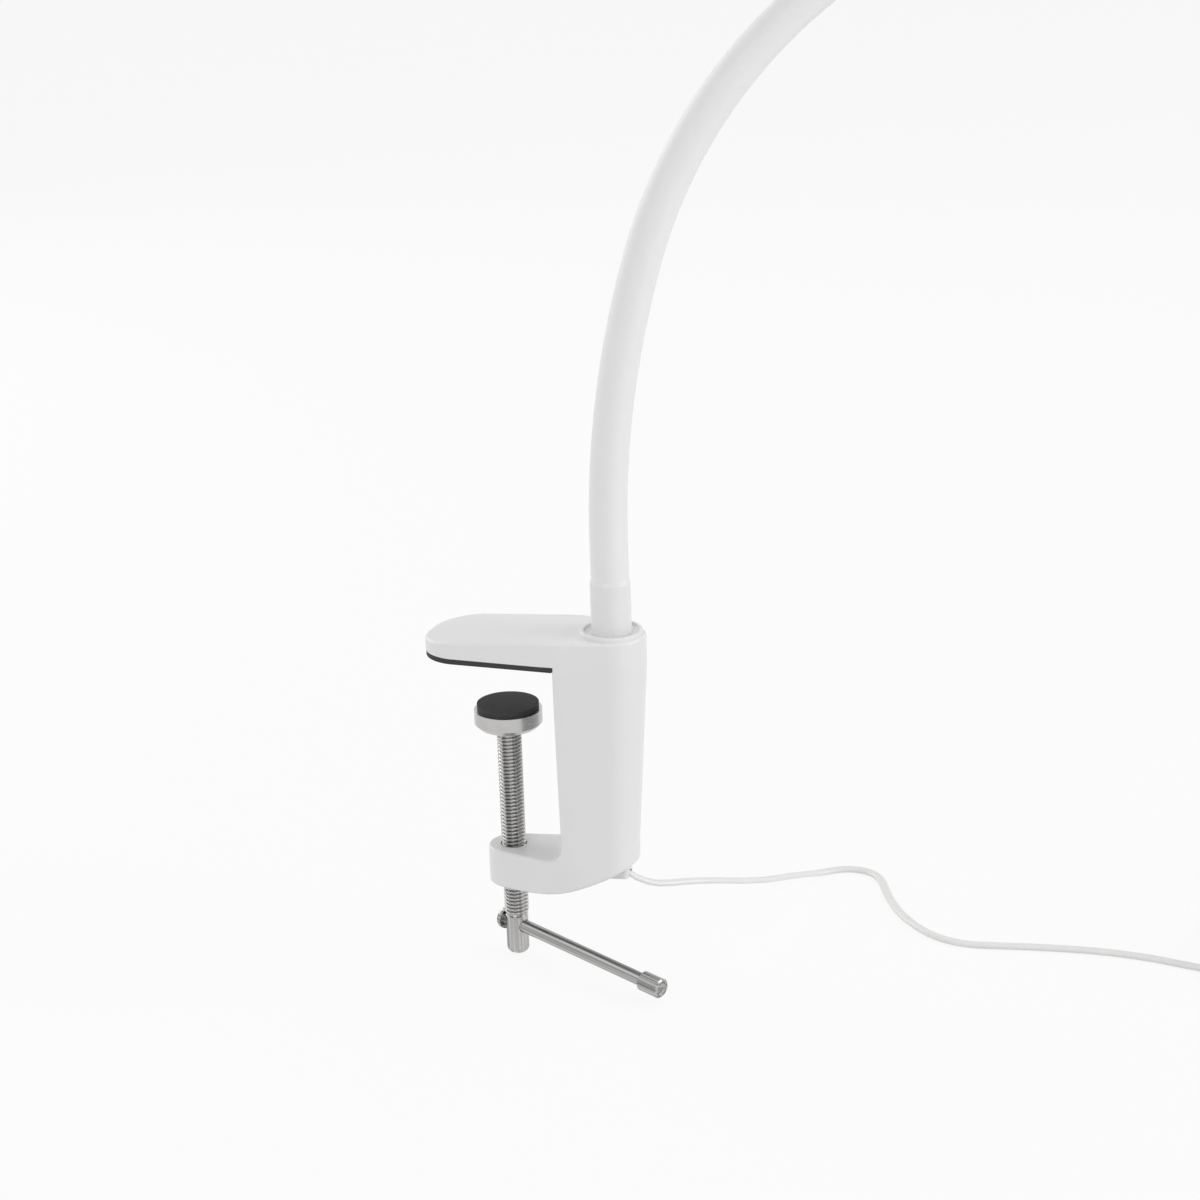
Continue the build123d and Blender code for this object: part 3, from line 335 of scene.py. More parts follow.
class Finish(Tree):
    """A material under construction."""

    def __init__(self, name):
        self.material = bpy.data.materials.new(name)
        self.material.use_nodes = True
        super().__init__(self.material.node_tree)

    def place(self, stretch=(1, 1, 1), turn=(0, 0, 0), shift=(0, 0, 0)):
        """Object coordinates, stretched along the axes after a turn and then shifted."""
        coordinates = self.node("ShaderNodeTexCoord").value("Object")
        turned = self.node("ShaderNodeMapping", {}, {"Vector": coordinates, "Rotation": turn})
        inputs = {"Vector": turned, "Scale": stretch, "Location": shift}
        return self.node("ShaderNodeMapping", {}, inputs)

    def noise(self, place, scale, detail):
        """Soft random spots between 0 and 1."""
        inputs = {"Vector": place, "Scale": scale, "Detail": detail}
        return self.node("ShaderNodeTexNoise", {}, inputs).value("Fac")

    def mix(self, share, first, second):
        """A colour between two others."""
        inputs = {MIX_SHARE: share, MIX_FIRST: first, MIX_SECOND: second}
        return self.node("ShaderNodeMix", {"data_type": "RGBA"}, inputs).value(MIX_RESULT)

    def bump(self, height, strength, distance):
        """A relief that only tilts the surface."""
        inputs = {"Height": height, "Strength": strength, "Distance": distance}
        return self.node("ShaderNodeBump", {}, inputs)

    def shown(self, shader):
        """End the material in a shader."""
        self.node("ShaderNodeOutputMaterial", {}, {"Surface": shader})
        return self.material

    def surface(self, inputs):
        """End the material in the plain shader."""
        return self.shown(self.node("ShaderNodeBsdfPrincipled", {}, inputs))


def rgba(shade, factor=1.0):
    """A base colour as a socket takes it, made darker or lighter."""
    return (*(min(1.0, channel * factor) for channel in shade), 1.0)


def moulded_plastic(name, shade, roughness=0.36):
    """Injection-moulded plastic: fine spark texture, faint flow marks and slightly uneven gloss."""
    finish = Finish(name)
    place = finish.place()
    flow = finish.noise(place, scale=55.0, detail=2.0)
    spark = finish.noise(place, scale=2600.0, detail=2.0)
    return finish.surface(
        {
            "Base Color": finish.mix(flow, rgba(shade, 0.97), rgba(shade, 1.02)),
            "Roughness": roughness - 0.04 + flow * 0.06 + spark * 0.04,
            "Normal": finish.bump(spark, strength=0.05, distance=0.05 * MM),
        }
    )


def soft_sleeve(name, shade):
    """Matt soft tubing with a fine skin and faint cloudy shading."""
    finish = Finish(name)
    place = finish.place()
    cloud = finish.noise(place, scale=70.0, detail=2.0)
    skin = finish.noise(place, scale=1800.0, detail=3.0)
    return finish.surface(
        {
            "Base Color": finish.mix(cloud, rgba(shade, 0.975), rgba(shade, 1.02)),
            "Roughness": 0.46 + cloud * 0.08 + skin * 0.06,
            "Normal": finish.bump(skin, strength=0.07, distance=0.05 * MM),
        }
    )


def cord_jacket(name, shade):
    """Glossy extruded PVC with slight waviness."""
    finish = Finish(name)
    place = finish.place()
    wave = finish.noise(place, scale=180.0, detail=2.0)
    fine = finish.noise(place, scale=1500.0, detail=2.0)
    return finish.surface(
        {
            "Base Color": finish.mix(wave, rgba(shade, 0.96), rgba(shade, 1.02)),
            "Roughness": 0.24 + wave * 0.08 + fine * 0.05,
            "Normal": finish.bump(wave, strength=0.06, distance=0.2 * MM),
        }
    )


def pad_rubber(name, shade):
    """Dull rubber with a pebbled face and pale dust on its high spots."""
    finish = Finish(name)
    place = finish.place()
    pebble = finish.noise(place, scale=1400.0, detail=4.0)
    dust = finish.noise(place, scale=90.0, detail=3.0)
    return finish.surface(
        {
            "Base Color": finish.mix(dust * 0.5, rgba(shade), rgba(shade, 2.4)),
            "Roughness": 0.66 + dust * 0.16,
            "Normal": finish.bump(pebble, strength=0.25, distance=0.1 * MM),
        }
    )


def turned_metal(name, shade, roughness, painted_reflection_bands=False):
    """Metal with fine turning lines, clouded gloss and, where asked, dark and bright bands along its axis that are
    painted reflections.
    """
    finish = Finish(name)
    rings = finish.noise(finish.place(stretch=(90.0, 90.0, 5200.0)), scale=1.0, detail=2.0)
    cloud = finish.noise(finish.place(), scale=260.0, detail=3.0)
    tone, dark, pale = cloud, 0.86, 1.08
    # Where asked, the base colour takes strong dark and bright bands along the axis: painted reflections, not the
    # steel's own colour.
    if painted_reflection_bands:
        reflection_band = finish.noise(finish.place(stretch=(600.0, 600.0, 10.0)), scale=1.0, detail=1.0)
        tone, dark, pale = reflection_band * 3.0 - 1.0, 0.46, 1.33
    return finish.surface(
        {
            "Base Color": finish.mix(tone, rgba(shade, dark), rgba(shade, pale)),
            "Metallic": 1.0,
            "Roughness": roughness - 0.05 + cloud * 0.1 + rings * 0.06,
            "Normal": finish.bump(rings, strength=0.12, distance=0.03 * MM),
        }
    )


def drawn_metal(name, shade, roughness, turn):
    """Bright drawn bar: hairlines along it, a few dull patches, and dark and bright streaks along it that are
    partly drawn streaks and partly painted reflection.
    """
    finish = Finish(name)
    fine = finish.place(stretch=(4200.0, 4200.0, 60.0), turn=turn)
    # The broad streaks are shifted so that a dark band and a bright line fall along the bar: painted reflection.
    streak_and_reflection_place = finish.place(stretch=(1300.0, 1300.0, 6.0), turn=turn, shift=(3.3, 5.6, 0.0))
    hair = finish.noise(fine, scale=1.0, detail=3.0)
    streak_and_reflection = finish.noise(streak_and_reflection_place, scale=1.0, detail=2.0)
    patch = finish.noise(finish.place(), scale=140.0, detail=3.0)
    return finish.surface(
        {
            # Base colour: from very dark to very light along the streaks, partly drawn streaks and partly painted
            # reflection.
            "Base Color": finish.mix(streak_and_reflection * streak_and_reflection * 2.6, rgba(shade, 0.22), rgba(shade, 1.7)),
            "Metallic": 1.0,
            "Roughness": roughness - 0.03 + patch * 0.07 + hair * 0.06,
            "Normal": finish.bump(hair, strength=0.08, distance=0.02 * MM),
        }
    )


def printed_board(name, shade):
    """Solder mask with the faint relief of copper under it."""
    finish = Finish(name)
    inputs = {"Vector": finish.place(), "Scale": 180.0, "Mortar Size": 0.04}
    copper = finish.node("ShaderNodeTexBrick", {"offset": 0.5}, inputs).value("Fac")
    return finish.surface(
        {
            "Base Color": finish.mix(copper, rgba(shade), rgba(shade, 0.86)),
            "Roughness": 0.34 + copper * 0.1,
            "Normal": finish.bump(copper, strength=0.2, distance=0.05 * MM),
        }
    )


def light_face(name, shade):
    """Silicone phosphor dotted over the light's dies."""
    finish = Finish(name)
    inputs = {"Vector": finish.place(), "Scale": 700.0}
    dots = finish.node("ShaderNodeTexVoronoi", {"feature": "F1"}, inputs).value("Distance")
    return finish.surface(
        {
            "Base Color": finish.mix(dots, rgba(shade, 0.8), rgba(shade, 1.1)),
            "Roughness": 0.3 + dots * 0.2,
            "Normal": finish.bump(dots, strength=0.1, distance=0.1 * MM),
        }
    )


def coated_mirror(name, shade):
    """Vapour-coated reflector with a slight orange peel."""
    finish = Finish(name)
    peel = finish.noise(finish.place(), scale=420.0, detail=2.0)
    return finish.surface(
        {
            "Base Color": finish.mix(peel, rgba(shade, 0.96), rgba(shade)),
            "Metallic": 1.0,
            "Roughness": 0.06 + peel * 0.06,
            "Normal": finish.bump(peel, strength=0.08, distance=0.1 * MM),
        }
    )


def frosted_lens(name, shade):
    """Frosted diffuser, half clear, with a prismatic grain."""
    finish = Finish(name)
    frost = finish.noise(finish.place(), scale=1600.0, detail=3.0)
    return finish.surface(
        {
            "Base Color": finish.mix(frost, rgba(shade, 0.94), rgba(shade)),
            "Roughness": 0.42 + frost * 0.12,
            "Transmission Weight": 0.45,
            "IOR": 1.49,
            "Normal": finish.bump(frost, strength=0.18, distance=0.05 * MM),
        }
    )


def mesh_object(name, vertices, faces, material, smooth=True):
    """A new mesh object with one material, linked to the scene."""
    mesh = bpy.data.meshes.new(name)
    mesh.from_pydata([tuple(vertex) for vertex in vertices], [], faces)
    mesh.update()
    mesh.materials.append(material)
    mesh.polygons.foreach_set("use_smooth", [smooth] * len(mesh.polygons))
    piece = bpy.data.objects.new(name, mesh)
    bpy.context.scene.collection.objects.link(piece)
    return piece


def mark_sharp(piece, angle_degrees):
    """Keep edges crisp where two faces meet at more than an angle."""
    limit = math.radians(angle_degrees)
    work = bmesh.new()
    work.from_mesh(piece.data)
    for edge in work.edges:
        edge.smooth = len(edge.link_faces) == 2 and edge.calc_face_angle(0.0) < limit
    work.to_mesh(piece.data)
    work.free()


def skinned(rings, closed_ends=True):
    """Vertices and faces of a skin over rings that all have the same number of points."""
    count = len(rings[0])
    vertices = [point for ring in rings for point in ring]
    faces = []
    for row in range(len(rings) - 1):
        for n in range(count):
            here, following = row * count + n, row * count + (n + 1) % count
            faces.append((here, following, following + count, here + count))
    if closed_ends:
        faces.append(tuple(reversed(range(count))))
        faces.append(tuple(range((len(rings) - 1) * count, len(rings) * count)))
    return vertices, faces


def circle(centre, across, outward, radius, count):
    """Points of a circle in the plane of two unit vectors."""
    angles = [math.tau * n / count for n in range(count)]
    return [centre + (across * math.cos(a) + outward * math.sin(a)) * radius for a in angles]


def lathe(profile, frame, count):
    """Vertices and faces of a turned shape; the profile is (radius, height) from one pole to the other."""
    rings = []
    for radius, height in profile:
        angles = [math.tau * n / count for n in range(count)]
        rings.append([frame @ Vector((radius * math.cos(a), radius * math.sin(a), height)) for a in angles])
    return skinned(rings)


def tidy_mesh(piece):
    """Weld a mesh, drop its empty faces and turn the rest outward."""
    work = bmesh.new()
    work.from_mesh(piece.data)
    bmesh.ops.remove_doubles(work, verts=work.verts, dist=WELD)
    bmesh.ops.dissolve_degenerate(work, edges=work.edges, dist=EMPTY)
    bmesh.ops.recalc_face_normals(work, faces=work.faces)
    work.to_mesh(piece.data)
    work.free()
    return piece


def baked(piece):
    """Turn a piece's modifiers into plain mesh."""
    graph = bpy.context.evaluated_depsgraph_get()
    mesh = bpy.data.meshes.new_from_object(piece.evaluated_get(graph))
    piece.modifiers.clear()
    piece.data = mesh


def cut(piece, cutter):
    """Take the cutter's shape out of a piece and remove the cutter."""
    modifier = piece.modifiers.new("Cut", "BOOLEAN")
    modifier.operation = "DIFFERENCE"
    modifier.object = cutter
    baked(piece)
    bpy.data.objects.remove(cutter)


def joined(name, pieces):
    """One object with the meshes of several, which are removed."""
    work = bmesh.new()
    for piece in pieces:
        work.from_mesh(piece.data)
    mesh = bpy.data.meshes.new(name)
    work.to_mesh(mesh)
    work.free()
    mesh.materials.append(pieces[0].data.materials[0])
    for piece in pieces:
        bpy.data.objects.remove(piece)
    whole = bpy.data.objects.new(name, mesh)
    bpy.context.scene.collection.objects.link(whole)
    return whole


# Cord


def coil_point(turn):
    """Point of the coil's centre line after a number of turns, in millimetres."""
    inner = COIL_OUTER_R - COIL_STEP * COIL_LAYER_TURNS
    layer = min(int(turn / COIL_LAYER_TURNS), COIL_LAYERS - 1)
    along = turn - layer * COIL_LAYER_TURNS
    radius = inner + COIL_STEP * along if layer % 2 else COIL_OUTER_R - COIL_STEP * along
    climbs = [(turn - n * COIL_LAYER_TURNS) / COIL_CLIMB_TURNS + 0.5 for n in range(1, COIL_LAYERS)]
    steps = [min(max(climb, 0.0), 1.0) for climb in climbs]
    height = COIL_LAYER_STEP * sum(step * step * (3 - 2 * step) for step in steps)
    angle = math.tau * turn - math.pi / 2
    x, y, z = COIL_CENTRE
    return x + radius * math.cos(angle), y + radius * math.sin(angle), z + height


def cord_control_points():
    """The route, the coil's turns and the tail, as control points in metres."""
    turns = COIL_LAYERS * COIL_LAYER_TURNS + COIL_LEAD_TURN
    count = round(turns * COIL_POINTS_PER_TURN)
    coil = [coil_point(turns * n / count) for n in range(count + 1)]
    x, y, z = coil[-1]
    tail = [(x, y + step, z) for step in CORD_TAIL]
    return [Vector(point) * MM for point in CORD_ROUTE + coil + tail]


def smooth_line(name, points):
    """Points along a NURBS spline with the given control points."""
    curve = bpy.data.curves.new(name, "CURVE")
    curve.dimensions = "3D"
    curve.resolution_u = CORD_LINE_STEPS
    spline = curve.splines.new("NURBS")
    spline.points.add(len(points) - 1)
    for target, point in zip(spline.points, points):
        target.co = (*point, 1.0)
    spline.order_u = CORD_LINE_ORDER
    spline.use_endpoint_u = True
    holder = bpy.data.objects.new(name, curve)
    bpy.context.scene.collection.objects.link(holder)
    mesh = bpy.data.meshes.new_from_object(holder)
    line = [vertex.co.copy() for vertex in mesh.vertices]
    bpy.data.objects.remove(holder)
    bpy.data.curves.remove(curve)
    bpy.data.meshes.remove(mesh)
    return line


def twin_section(width, core):
    """Outline of a flat twin cord: two round halves that meet in a shallow groove."""
    radius, shift = core / 2, (width - core) / 2
    spread = math.acos(-min(CORD_GROOVE_LIMIT, CORD_GROOVE * shift / radius))
    half = [spread * (2 * n / (CORD_HALF_POINTS - 1) - 1) for n in range(CORD_HALF_POINTS)]
    right = [(shift + radius * math.cos(a), radius * math.sin(a)) for a in half]
    return right + [(-x, -y) for x, y in right]


class LAMP_OT_cord(bpy.types.Operator):
    """Lay the flat twin cord along its route, into its coil and to the adapter"""

    bl_idname = "lamp.cord"
    bl_label = "Cord"

    def execute(self, context):
        sizes = context.scene.lamp_sizes
        line = smooth_line("cord_line", cord_control_points())
        section = twin_section(sizes.cord_width, sizes.cord_core)
        rings, run = [], 0.0
        for n, point in enumerate(line):
            before, after = line[max(n - 1, 0)], line[min(n + 1, len(line) - 1)]
            along = (after - before).normalized()
            across = along.cross(UP).normalized()
            upward = across.cross(along)
            run += (point - before).length
            turn = 0.5 * TWIST * (1 - math.cos(max(run - TWIST_START, 0.0) / TWIST_LENGTH))
            cos, sin = math.cos(turn), math.sin(turn)
            rings.append(
                [point + across * (x * cos - y * sin) + upward * (x * sin + y * cos) for x, y in section]
            )
        vertices, faces = skinned(rings)
        cord = mesh_object("cord", vertices, faces, FINISHES["cord_pvc"])
        mark_sharp(cord, CORD_CREASE)
        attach(cord, "clamp")
        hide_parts("cord_lead", "cord_coil", "cord_tail")
        return {"FINISHED"}


# Neck


def neck_point(s):
    """Point on the neck's centre line at a length s from its base, with the outward direction."""
    side, height, lean, left = 0.0, 0.0, 0.0, s
    for number, (radius, length) in enumerate(NECK_RUNS):
        step = left if number == len(NECK_RUNS) - 1 else min(left, length)
        if radius is None:
            side += step * math.sin(lean)
            height += step * math.cos(lean)
        else:
            turn = step / radius
            side += radius * (math.cos(lean) - math.cos(lean + turn))
            height += radius * (math.sin(lean + turn) - math.sin(lean))
            lean += turn
        left -= step
        if left <= 0:
            break
    outward = UP * math.sin(lean) - NECK_SIDE * math.cos(lean)
    return NECK_ROOT + NECK_SIDE * side + UP * height, outward


def neck_rings(start, end, radius, count, step, aside=0.0):
    """Circles around the neck's line, or around a line beside it."""
    rows = max(2, math.ceil((end - start) / step))
    rings = []
    for n in range(rows + 1):
        centre, outward = neck_point(start + (end - start) * n / rows)
        rings.append(circle(centre + NECK_ACROSS * aside, outward, NECK_ACROSS, radius, count))
    return rings


def sleeve_piece(name, start, end, outer, inner):
    """A stretch of the neck's sleeve, open at both ends, with a real wall."""
    outside = neck_rings(start, end, outer, SLEEVE_SIDES, SLEEVE_STEP)
    inside = neck_rings(start, end, inner, SLEEVE_SIDES, SLEEVE_STEP)
    rings = outside + list(reversed(inside)) + [outside[0]]
    vertices, faces = skinned(rings, closed_ends=False)
    piece = mesh_object(name, vertices, faces, FINISHES["white_sleeve"])
    tidy_mesh(piece)
    mark_sharp(piece, NECK_CREASE)
    return piece


def wire_pair(name, start, end):
    """Both wires of the neck between two lengths."""
    vertices, faces = [], []
    for aside in (-WIRE_OFFSET, WIRE_OFFSET):
        rings = neck_rings(start, end, WIRE_RADIUS, WIRE_SIDES, WIRE_STEP, aside)
        more_vertices, more_faces = skinned(rings)
        faces += [tuple(n + len(vertices) for n in face) for face in more_faces]
        vertices += more_vertices
    piece = mesh_object(name, vertices, faces, FINISHES["wire"])
    mark_sharp(piece, NECK_CREASE)
    return piece


class LAMP_OT_neck(bpy.types.Operator):
    """Cover the neck in stretches of sleeve and wire that each span one joint"""

    bl_idname = "lamp.neck"
    bl_label = "Neck"

    def execute(self, context):
        sizes = context.scene.lamp_sizes
        marks = [NECK_JOINT_FIRST + NECK_JOINT_STEP * n for n in range(len(NECK_JOINTS))]
        middles = [0.5 * (a + b) for a, b in zip(marks, marks[1:])]
        sleeve_marks = [FERRULE_LONG] + middles + [NECK_LENGTH - FERRULE_LONG]
        wire_marks = [WIRE_START] + middles + [WIRE_END]
        inner = sizes.sleeve_radius - sizes.sleeve_wall
        for n, joint in enumerate(NECK_JOINTS):
            sleeve = sleeve_piece(
                f"neck_sleeve_{n + 1}", sleeve_marks[n], sleeve_marks[n + 1], sizes.sleeve_radius, inner
            )
            wires = wire_pair(f"lead_wires_{n + 1}", wire_marks[n], wire_marks[n + 1])
            start = neck_point(marks[n] - sizes.bend_reach)[0]
            end = neck_point(marks[n] + sizes.bend_reach)[0]
            covers = {"neck_sleeve": (sleeve, "white_sleeve"), "lead_wires": (wires, "wire")}
            for node, (piece, slot) in covers.items():
                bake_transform(piece)
                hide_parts(node)
        return {"FINISHED"}


# Clamp screw


def rod_profile(radius, low, high):
    """Profile of a plain rod for the lathe."""
    return [(0.0, low), (radius, low), (radius, high), (0.0, high)]


def bar_matrix():
    """Frame whose Z axis is the tommy bar's line."""
    along = Vector(JOINTS["bar_slide"]["axis"])
    return Matrix.Translation((0, 0, BAR_Z)) @ along.to_track_quat("Z", "Y").to_matrix().to_4x4()


def thread_height(turns):
    """Share of the thread's depth after a number of turns: flat crests and roots, straight flanks."""
    from_crest = abs(turns % 1.0 - 0.5)
    return 1.0 - min(max((from_crest - THREAD_HALF_CREST) / THREAD_FLANK, 0.0), 1.0)


def threaded_rod(low, high, pitch, crest, depth):
    """Vertices and faces of a right-hand thread whose rows climb with it and that runs out at both ends."""
    rows = math.ceil((high - low) / pitch + 1) * THREAD_STEPS
    vertices = []
    for row in range(rows + 1):
        for n in range(THREAD_SIDES):
            climbed = (row / THREAD_STEPS + n / THREAD_SIDES - 1.0) * pitch
            z = min(max(low + climbed, low), high)
            fade = min(1.0, (z - low) / pitch, (high - z) / pitch)
            radius = crest - depth + depth * fade * thread_height(row / THREAD_STEPS)
            angle = math.tau * n / THREAD_SIDES
            vertices.append(Vector((radius * math.cos(angle), radius * math.sin(angle), z)))
    faces = []
    for row in range(rows):
        for n in range(THREAD_SIDES):
            wraps = n + 1 == THREAD_SIDES
            aside = 0 if wraps else n + 1
            below = min(row + THREAD_STEPS, rows) if wraps else row
            above = min(below + 1, rows)
            corners = ((row, n), (below, aside), (above, aside), (row + 1, n))
            face = tuple(dict.fromkeys(line * THREAD_SIDES + column for line, column in corners))
            if len(face) > 2:
                faces.append(face)
    faces.append(tuple(reversed(range(THREAD_SIDES))))
    faces.append(tuple(range(rows * THREAD_SIDES, (rows + 1) * THREAD_SIDES)))
    return vertices, faces


class LAMP_OT_screw(bpy.types.Operator):
    """Cut a real thread on the clamp screw and drill its end for the bar"""

    bl_idname = "lamp.screw"
    bl_label = "Clamp screw"

    def execute(self, context):
        sizes = context.scene.lamp_sizes
        steel = FINISHES["rolled_steel"]
        low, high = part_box("clamp_screw")
        root = SCREW_CREST - sizes.thread_depth
        thread_low = SCREW_PLAIN_TOP + SCREW_STEP
        shank = [(0.0, low.z), (SCREW_PLAIN - SCREW_DOME, low.z)]
        for n in range(1, SCREW_DOME_STEPS + 1):
            angle = math.radians(90 * n / SCREW_DOME_STEPS)
            inset, rise = SCREW_DOME * (1 - math.sin(angle)), SCREW_DOME * (1 - math.cos(angle))
            shank.append((SCREW_PLAIN - inset, low.z + rise))
        lap = thread_low + SCREW_LAP
        shank += [(SCREW_PLAIN, SCREW_PLAIN_TOP), (root, thread_low), (root, lap), (0.0, lap)]
        end = tidy_mesh(mesh_object("screw_end", *lathe(shank, Matrix(), SCREW_END_SIDES), steel))
        bore = rod_profile(BAR_HOLE, -BAR_HOLE_REACH, BAR_HOLE_REACH)
        hole = lathe(bore, bar_matrix(), BAR_HOLE_SIDES)
        cut(end, tidy_mesh(mesh_object("screw_bore", *hole, steel)))
        thread = threaded_rod(
            thread_low, SCREW_SHOULDER, sizes.thread_pitch, SCREW_CREST, sizes.thread_depth
        )
        rod = tidy_mesh(mesh_object("screw_rod", *thread, steel))
        pin = rod_profile(SCREW_PIN, SCREW_SHOULDER - SCREW_LAP, high.z)
        nose = lathe(pin, Matrix(), SCREW_PIN_SIDES)
        tip = tidy_mesh(mesh_object("screw_tip", *nose, steel))
        screw = joined("clamp_screw_threaded", [end, rod, tip])
        mark_sharp(screw, STEEL_CREASE)
        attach(screw, "screw")
        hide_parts("clamp_screw")
        return {"FINISHED"}


# Fasteners and strain relief


def block(name, centre, size, material):
    """A box about a centre."""
    across, along, upward = (0.5 * side for side in size)
    sides = ((-across, -along), (across, -along), (across, along), (-across, along))
    rings = [[centre + Vector((x, y, z)) for x, y in sides] for z in (-upward, upward)]
    return mesh_object(name, *skinned(rings), material, smooth=False)


class LAMP_OT_fasteners(bpy.types.Operator):
    """Press cross recesses into the heads of the cover's screws"""

    bl_idname = "lamp.fasteners"
    bl_label = "Fasteners"

    def execute(self, context):
        steel = FINISHES["plated_steel"]
        low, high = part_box("cover_screws")
        screws = bpy.data.objects.new("cover_screws_recessed", NODES["cover_screws"].data.copy())
        context.scene.collection.objects.link(screws)
        tidy_mesh(screws)
        for side in (-RECESS_Y, RECESS_Y):
            centre = Vector((0.5 * (low.x + high.x), side, low.z))
            for long, wide in ((RECESS_LONG, RECESS_WIDE), (RECESS_WIDE, RECESS_LONG)):
                cut(screws, block("recess", centre, (long, wide, 2 * RECESS_DEEP), steel))
        mark_sharp(screws, STEEL_CREASE)
        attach(screws, "clamp")
        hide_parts("cover_screws")
        return {"FINISHED"}


def rib_nodes():
    """Node group: rings along the Y axis that widen evenly from the first to the last."""
    group = bpy.data.node_groups.new("relief_ribs", "GeometryNodeTree")
    sockets = {}
    for name, kind in (
        ("Ribs", "NodeSocketInt"),
        ("Spacing", "NodeSocketFloat"),
        ("First radius", "NodeSocketFloat"),
        ("Last radius", "NodeSocketFloat"),
        ("Thickness", "NodeSocketFloat"),
        ("Material", "NodeSocketMaterial"),
    ):
        sockets[name] = group.interface.new_socket(name, in_out="INPUT", socket_type=kind).identifier
    group.interface.new_socket("Geometry", in_out="OUTPUT", socket_type="NodeSocketGeometry")
    tree = Tree(group)

    def add(kind, **inputs):
        """Add a node; a socket's name is written with _ for each space."""
        named = {key.replace("_", " "): value for key, value in inputs.items()}
        return tree.node(kind, {}, named)

    given = tree.node("NodeGroupInput").value
    step = add("ShaderNodeCombineXYZ", Y=given("Spacing"))
    line = add("GeometryNodeMeshLine", Count=given("Ribs"), Offset=step)
    ring = add("GeometryNodeCurvePrimitiveCircle", Resolution=RELIEF_RIB_SIDES, Radius=1.0)
    section = add(
        "GeometryNodeCurvePrimitiveCircle", Resolution=RELIEF_RIB_SECTION_SIDES, Radius=given("Thickness")
    )
    collar = add("GeometryNodeCurveToMesh", Curve=ring, Profile_Curve=section)
    upright = add("GeometryNodeTransform", Geometry=collar, Rotation=(math.pi / 2, 0, 0))
    width = add(
        "ShaderNodeMapRange",
        Value=add("GeometryNodeInputIndex"),
        From_Max=given("Ribs") - 1.0,
        To_Min=given("First radius"),
        To_Max=given("Last radius"),
    )
    rings = add("GeometryNodeInstanceOnPoints", Points=line, Instance=upright, Scale=width)
    plain = add("GeometryNodeRealizeInstances", Geometry=rings)
    smooth = add("GeometryNodeSetShadeSmooth", Geometry=plain)
    painted = add("GeometryNodeSetMaterial", Geometry=smooth, Material=given("Material"))
    add("NodeGroupOutput", Geometry=painted)
    return group, sockets


class LAMP_OT_relief(bpy.types.Operator):
    """Mould ribs on the adapter's strain relief"""

    bl_idname = "lamp.relief"
    bl_label = "Strain relief"

    def execute(self, context):
        sizes = context.scene.lamp_sizes
        low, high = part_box("adapter_relief")
        group, sockets = rib_nodes()
        values = {
            "Ribs": sizes.relief_ribs,
            "Spacing": (RELIEF_LAST - RELIEF_FIRST) / (sizes.relief_ribs - 1),
            "First radius": RELIEF_FIRST_R,
            "Last radius": RELIEF_LAST_R,
            "Thickness": RELIEF_RIB_THICK,
            "Material": FINISHES["white_plastic"],
        }
        ribs = bpy.data.objects.new("adapter_relief_ribs", bpy.data.meshes.new("adapter_relief_ribs"))
        context.scene.collection.objects.link(ribs)
        modifier = ribs.modifiers.new("Ribs", "NODES")
        modifier.node_group = group
        for name, value in values.items():
            modifier[sockets[name]] = value
        baked(ribs)
        place = Vector((0.5 * (low.x + high.x), low.y + RELIEF_FIRST, 0.5 * (low.z + high.z)))
        ribs.data.transform(Matrix.Translation(place))
        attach(ribs, "clamp")
        return {"FINISHED"}


# Finishes and stage


class LAMP_OT_finishes(bpy.types.Operator):
    """Make every finish and give each solid its own"""

    bl_idname = "lamp.finishes"
    bl_label = "Finishes"

    def execute(self, context):
        tone = context.scene.lamp_colours
        along_bar = bar_matrix().inverted().to_euler()
        FINISHES.update(
            white_plastic=moulded_plastic("white_plastic", tone.body),
            white_sleeve=soft_sleeve("white_sleeve", tone.sleeve),
            rubber=pad_rubber("rubber", tone.rubber),
            plated_steel=turned_metal("plated_steel", tone.steel, 0.24),
            polished_steel=drawn_metal("polished_steel", tone.bright, 0.12, along_bar),
            # The clamp screw's steel carries painted reflections: dark and bright bands along its axis in the base
            # colour.
            rolled_steel=turned_metal("rolled_steel", tone.steel, 0.24, painted_reflection_bands=True),
            brass=turned_metal("brass", tone.brass, 0.3),
            alu=turned_metal("alu", tone.aluminium, 0.4),
            core_steel=turned_metal("core_steel", tone.conduit, 0.45),
            cord_pvc=cord_jacket("cord_pvc", tone.cord),
            wire=cord_jacket("wire", tone.wire),
            splice=moulded_plastic("splice", tone.splice),
            board=printed_board("board", tone.board),
            led=light_face("led", tone.phosphor),
            mirror=coated_mirror("mirror", tone.mirror),
            lens=frosted_lens("lens", tone.lens),
            dark=moulded_plastic("dark", tone.dark, 0.5),
            tie=moulded_plastic("tie", tone.tie, 0.42),
        )
        for part in FRAME["record"]["subparts"]:
            materials = NODES[part["node"]].data.materials
            materials.clear()
            materials.append(FINISHES[part["material_slot"]])
        return {"FINISHED"}


def seen_directly(tree):
    """1 for rays that show a surface to the camera, in a reflection or through glass, else 0."""
    path = tree.node("ShaderNodeLightPath")
    camera, glossy, clear = (path.value(f"Is {kind} Ray") for kind in ("Camera", "Glossy", "Transmission"))
    return camera.larger(glossy).larger(clear)


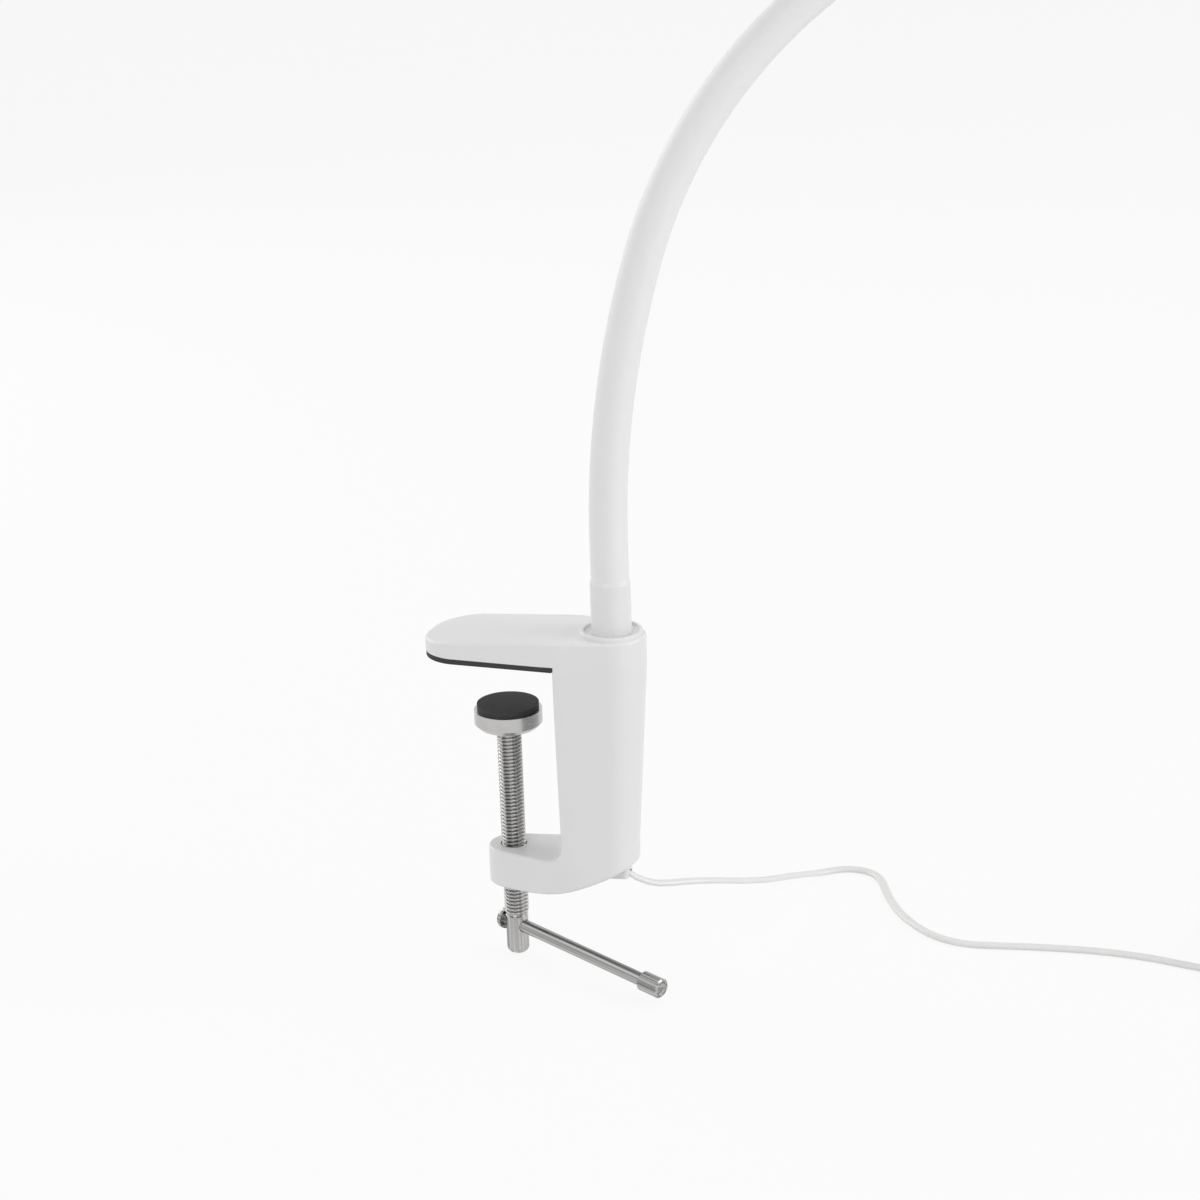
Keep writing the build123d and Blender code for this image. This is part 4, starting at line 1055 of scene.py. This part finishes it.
def floor_finish():
    """Pale matt floor, lifted towards white where it is seen, with the shadows left on it."""
    finish = Finish("floor")
    grain = finish.noise(finish.place(), scale=300.0, detail=2.0)
    inputs = {"Base Color": rgba([FLOOR_SHADE] * 3), "Roughness": 0.7 + grain * 0.1}
    matt = finish.node("ShaderNodeBsdfPrincipled", {}, inputs)
    white = finish.node("ShaderNodeEmission", {}, {"Color": WHITE, "Strength": 1.0})
    share = seen_directly(finish) * FLOOR_LIFT
    return finish.shown(finish.node("ShaderNodeMixShader", {}, {0: share, 1: matt, 2: white}))


def area_light(name, at, towards, size, watts):
    """A soft square lamp that faces a point."""
    lamp = bpy.data.lights.new(name, "AREA")
    lamp.size = size
    lamp.energy = watts
    holder = bpy.data.objects.new(name, lamp)
    holder.location = at
    holder.rotation_euler = (Vector(towards) - Vector(at)).to_track_quat("-Z", "Y").to_euler()
    bpy.context.scene.collection.objects.link(holder)


def light_world():
    """White behind everything that is seen, and a softer light on the object."""
    world = bpy.data.worlds.new("studio")
    world.use_nodes = True
    tree = Tree(world.node_tree)
    light = tree.node("ShaderNodeBackground", {}, {"Color": WHITE, "Strength": AMBIENT})
    white = tree.node("ShaderNodeBackground", {}, {"Color": WHITE, "Strength": 1.0})
    mixed = tree.node("ShaderNodeMixShader", {}, {0: seen_directly(tree), 1: light, 2: white})
    tree.node("ShaderNodeOutputWorld", {}, {"Surface": mixed})
    bpy.context.scene.world = world


class LAMP_OT_stage(bpy.types.Operator):
    """Set up the floor, the soft studio light and the camera"""

    bl_idname = "lamp.stage"
    bl_label = "Stage"

    def execute(self, context):
        scene = context.scene
        sides = ((-1, -1), (1, -1), (1, 1), (-1, 1))
        corners = [(x * FLOOR_HALF, y * FLOOR_HALF, FLOOR_Z) for x, y in sides]
        floor = mesh_object("floor", corners, [(0, 1, 2, 3)], floor_finish(), smooth=False)
        for lamp in LAMPS:
            area_light(*lamp)
        light_world()
        forward, up = Vector(CAMERA_FORWARD).normalized(), Vector(CAMERA_UP)
        right = forward.cross(up).normalized()
        up = right.cross(forward)
        data = bpy.data.cameras.new("camera")
        data.lens = LENS_MM
        data.sensor_width = SENSOR_MM
        camera = bpy.data.objects.new("camera", data)
        turn = Matrix((right, up, -forward)).transposed().to_4x4()
        camera.matrix_world = Matrix.Translation(CAMERA_AT) @ turn
        scene.collection.objects.link(camera)
        scene.camera = camera
        scene.view_settings.view_transform = "Standard"
        return {"FINISHED"}


class LAMP_PT_panel(bpy.types.Panel):
    """Steps and settings of the lamp's looks"""

    bl_label = "Gooseneck clamp lamp"
    bl_idname = "LAMP_PT_panel"
    bl_space_type = "VIEW_3D"
    bl_region_type = "UI"
    bl_category = "Lamp"

    def draw(self, context):
        column = self.layout.column()
        for operator in OPERATORS:
            column.operator(operator.bl_idname)
        for settings in (context.scene.lamp_sizes, context.scene.lamp_colours):
            box = self.layout.box()
            for name in settings.__annotations__:
                box.prop(settings, name)


OPERATORS = (
    LAMP_OT_finishes,
    LAMP_OT_cord,
    LAMP_OT_neck,
    LAMP_OT_screw,
    LAMP_OT_fasteners,
    LAMP_OT_relief,
    LAMP_OT_stage,
)
CLASSES = (LampSizes, LampColours, *OPERATORS, LAMP_PT_panel)


def register():
    for cls in CLASSES:
        bpy.utils.register_class(cls)
    bpy.types.Scene.lamp_sizes = PointerProperty(type=LampSizes)
    bpy.types.Scene.lamp_colours = PointerProperty(type=LampColours)


def unregister():
    del bpy.types.Scene.lamp_colours
    del bpy.types.Scene.lamp_sizes
    for cls in reversed(CLASSES):
        bpy.utils.unregister_class(cls)


def main():
    """Run every step in order."""
    register()
    bpy.ops.lamp.finishes()
    bpy.ops.lamp.cord()
    bpy.ops.lamp.neck()
    bpy.ops.lamp.screw()
    bpy.ops.lamp.fasteners()
    bpy.ops.lamp.relief()
    bpy.ops.lamp.stage()


if __name__ == "__main__":
    main()
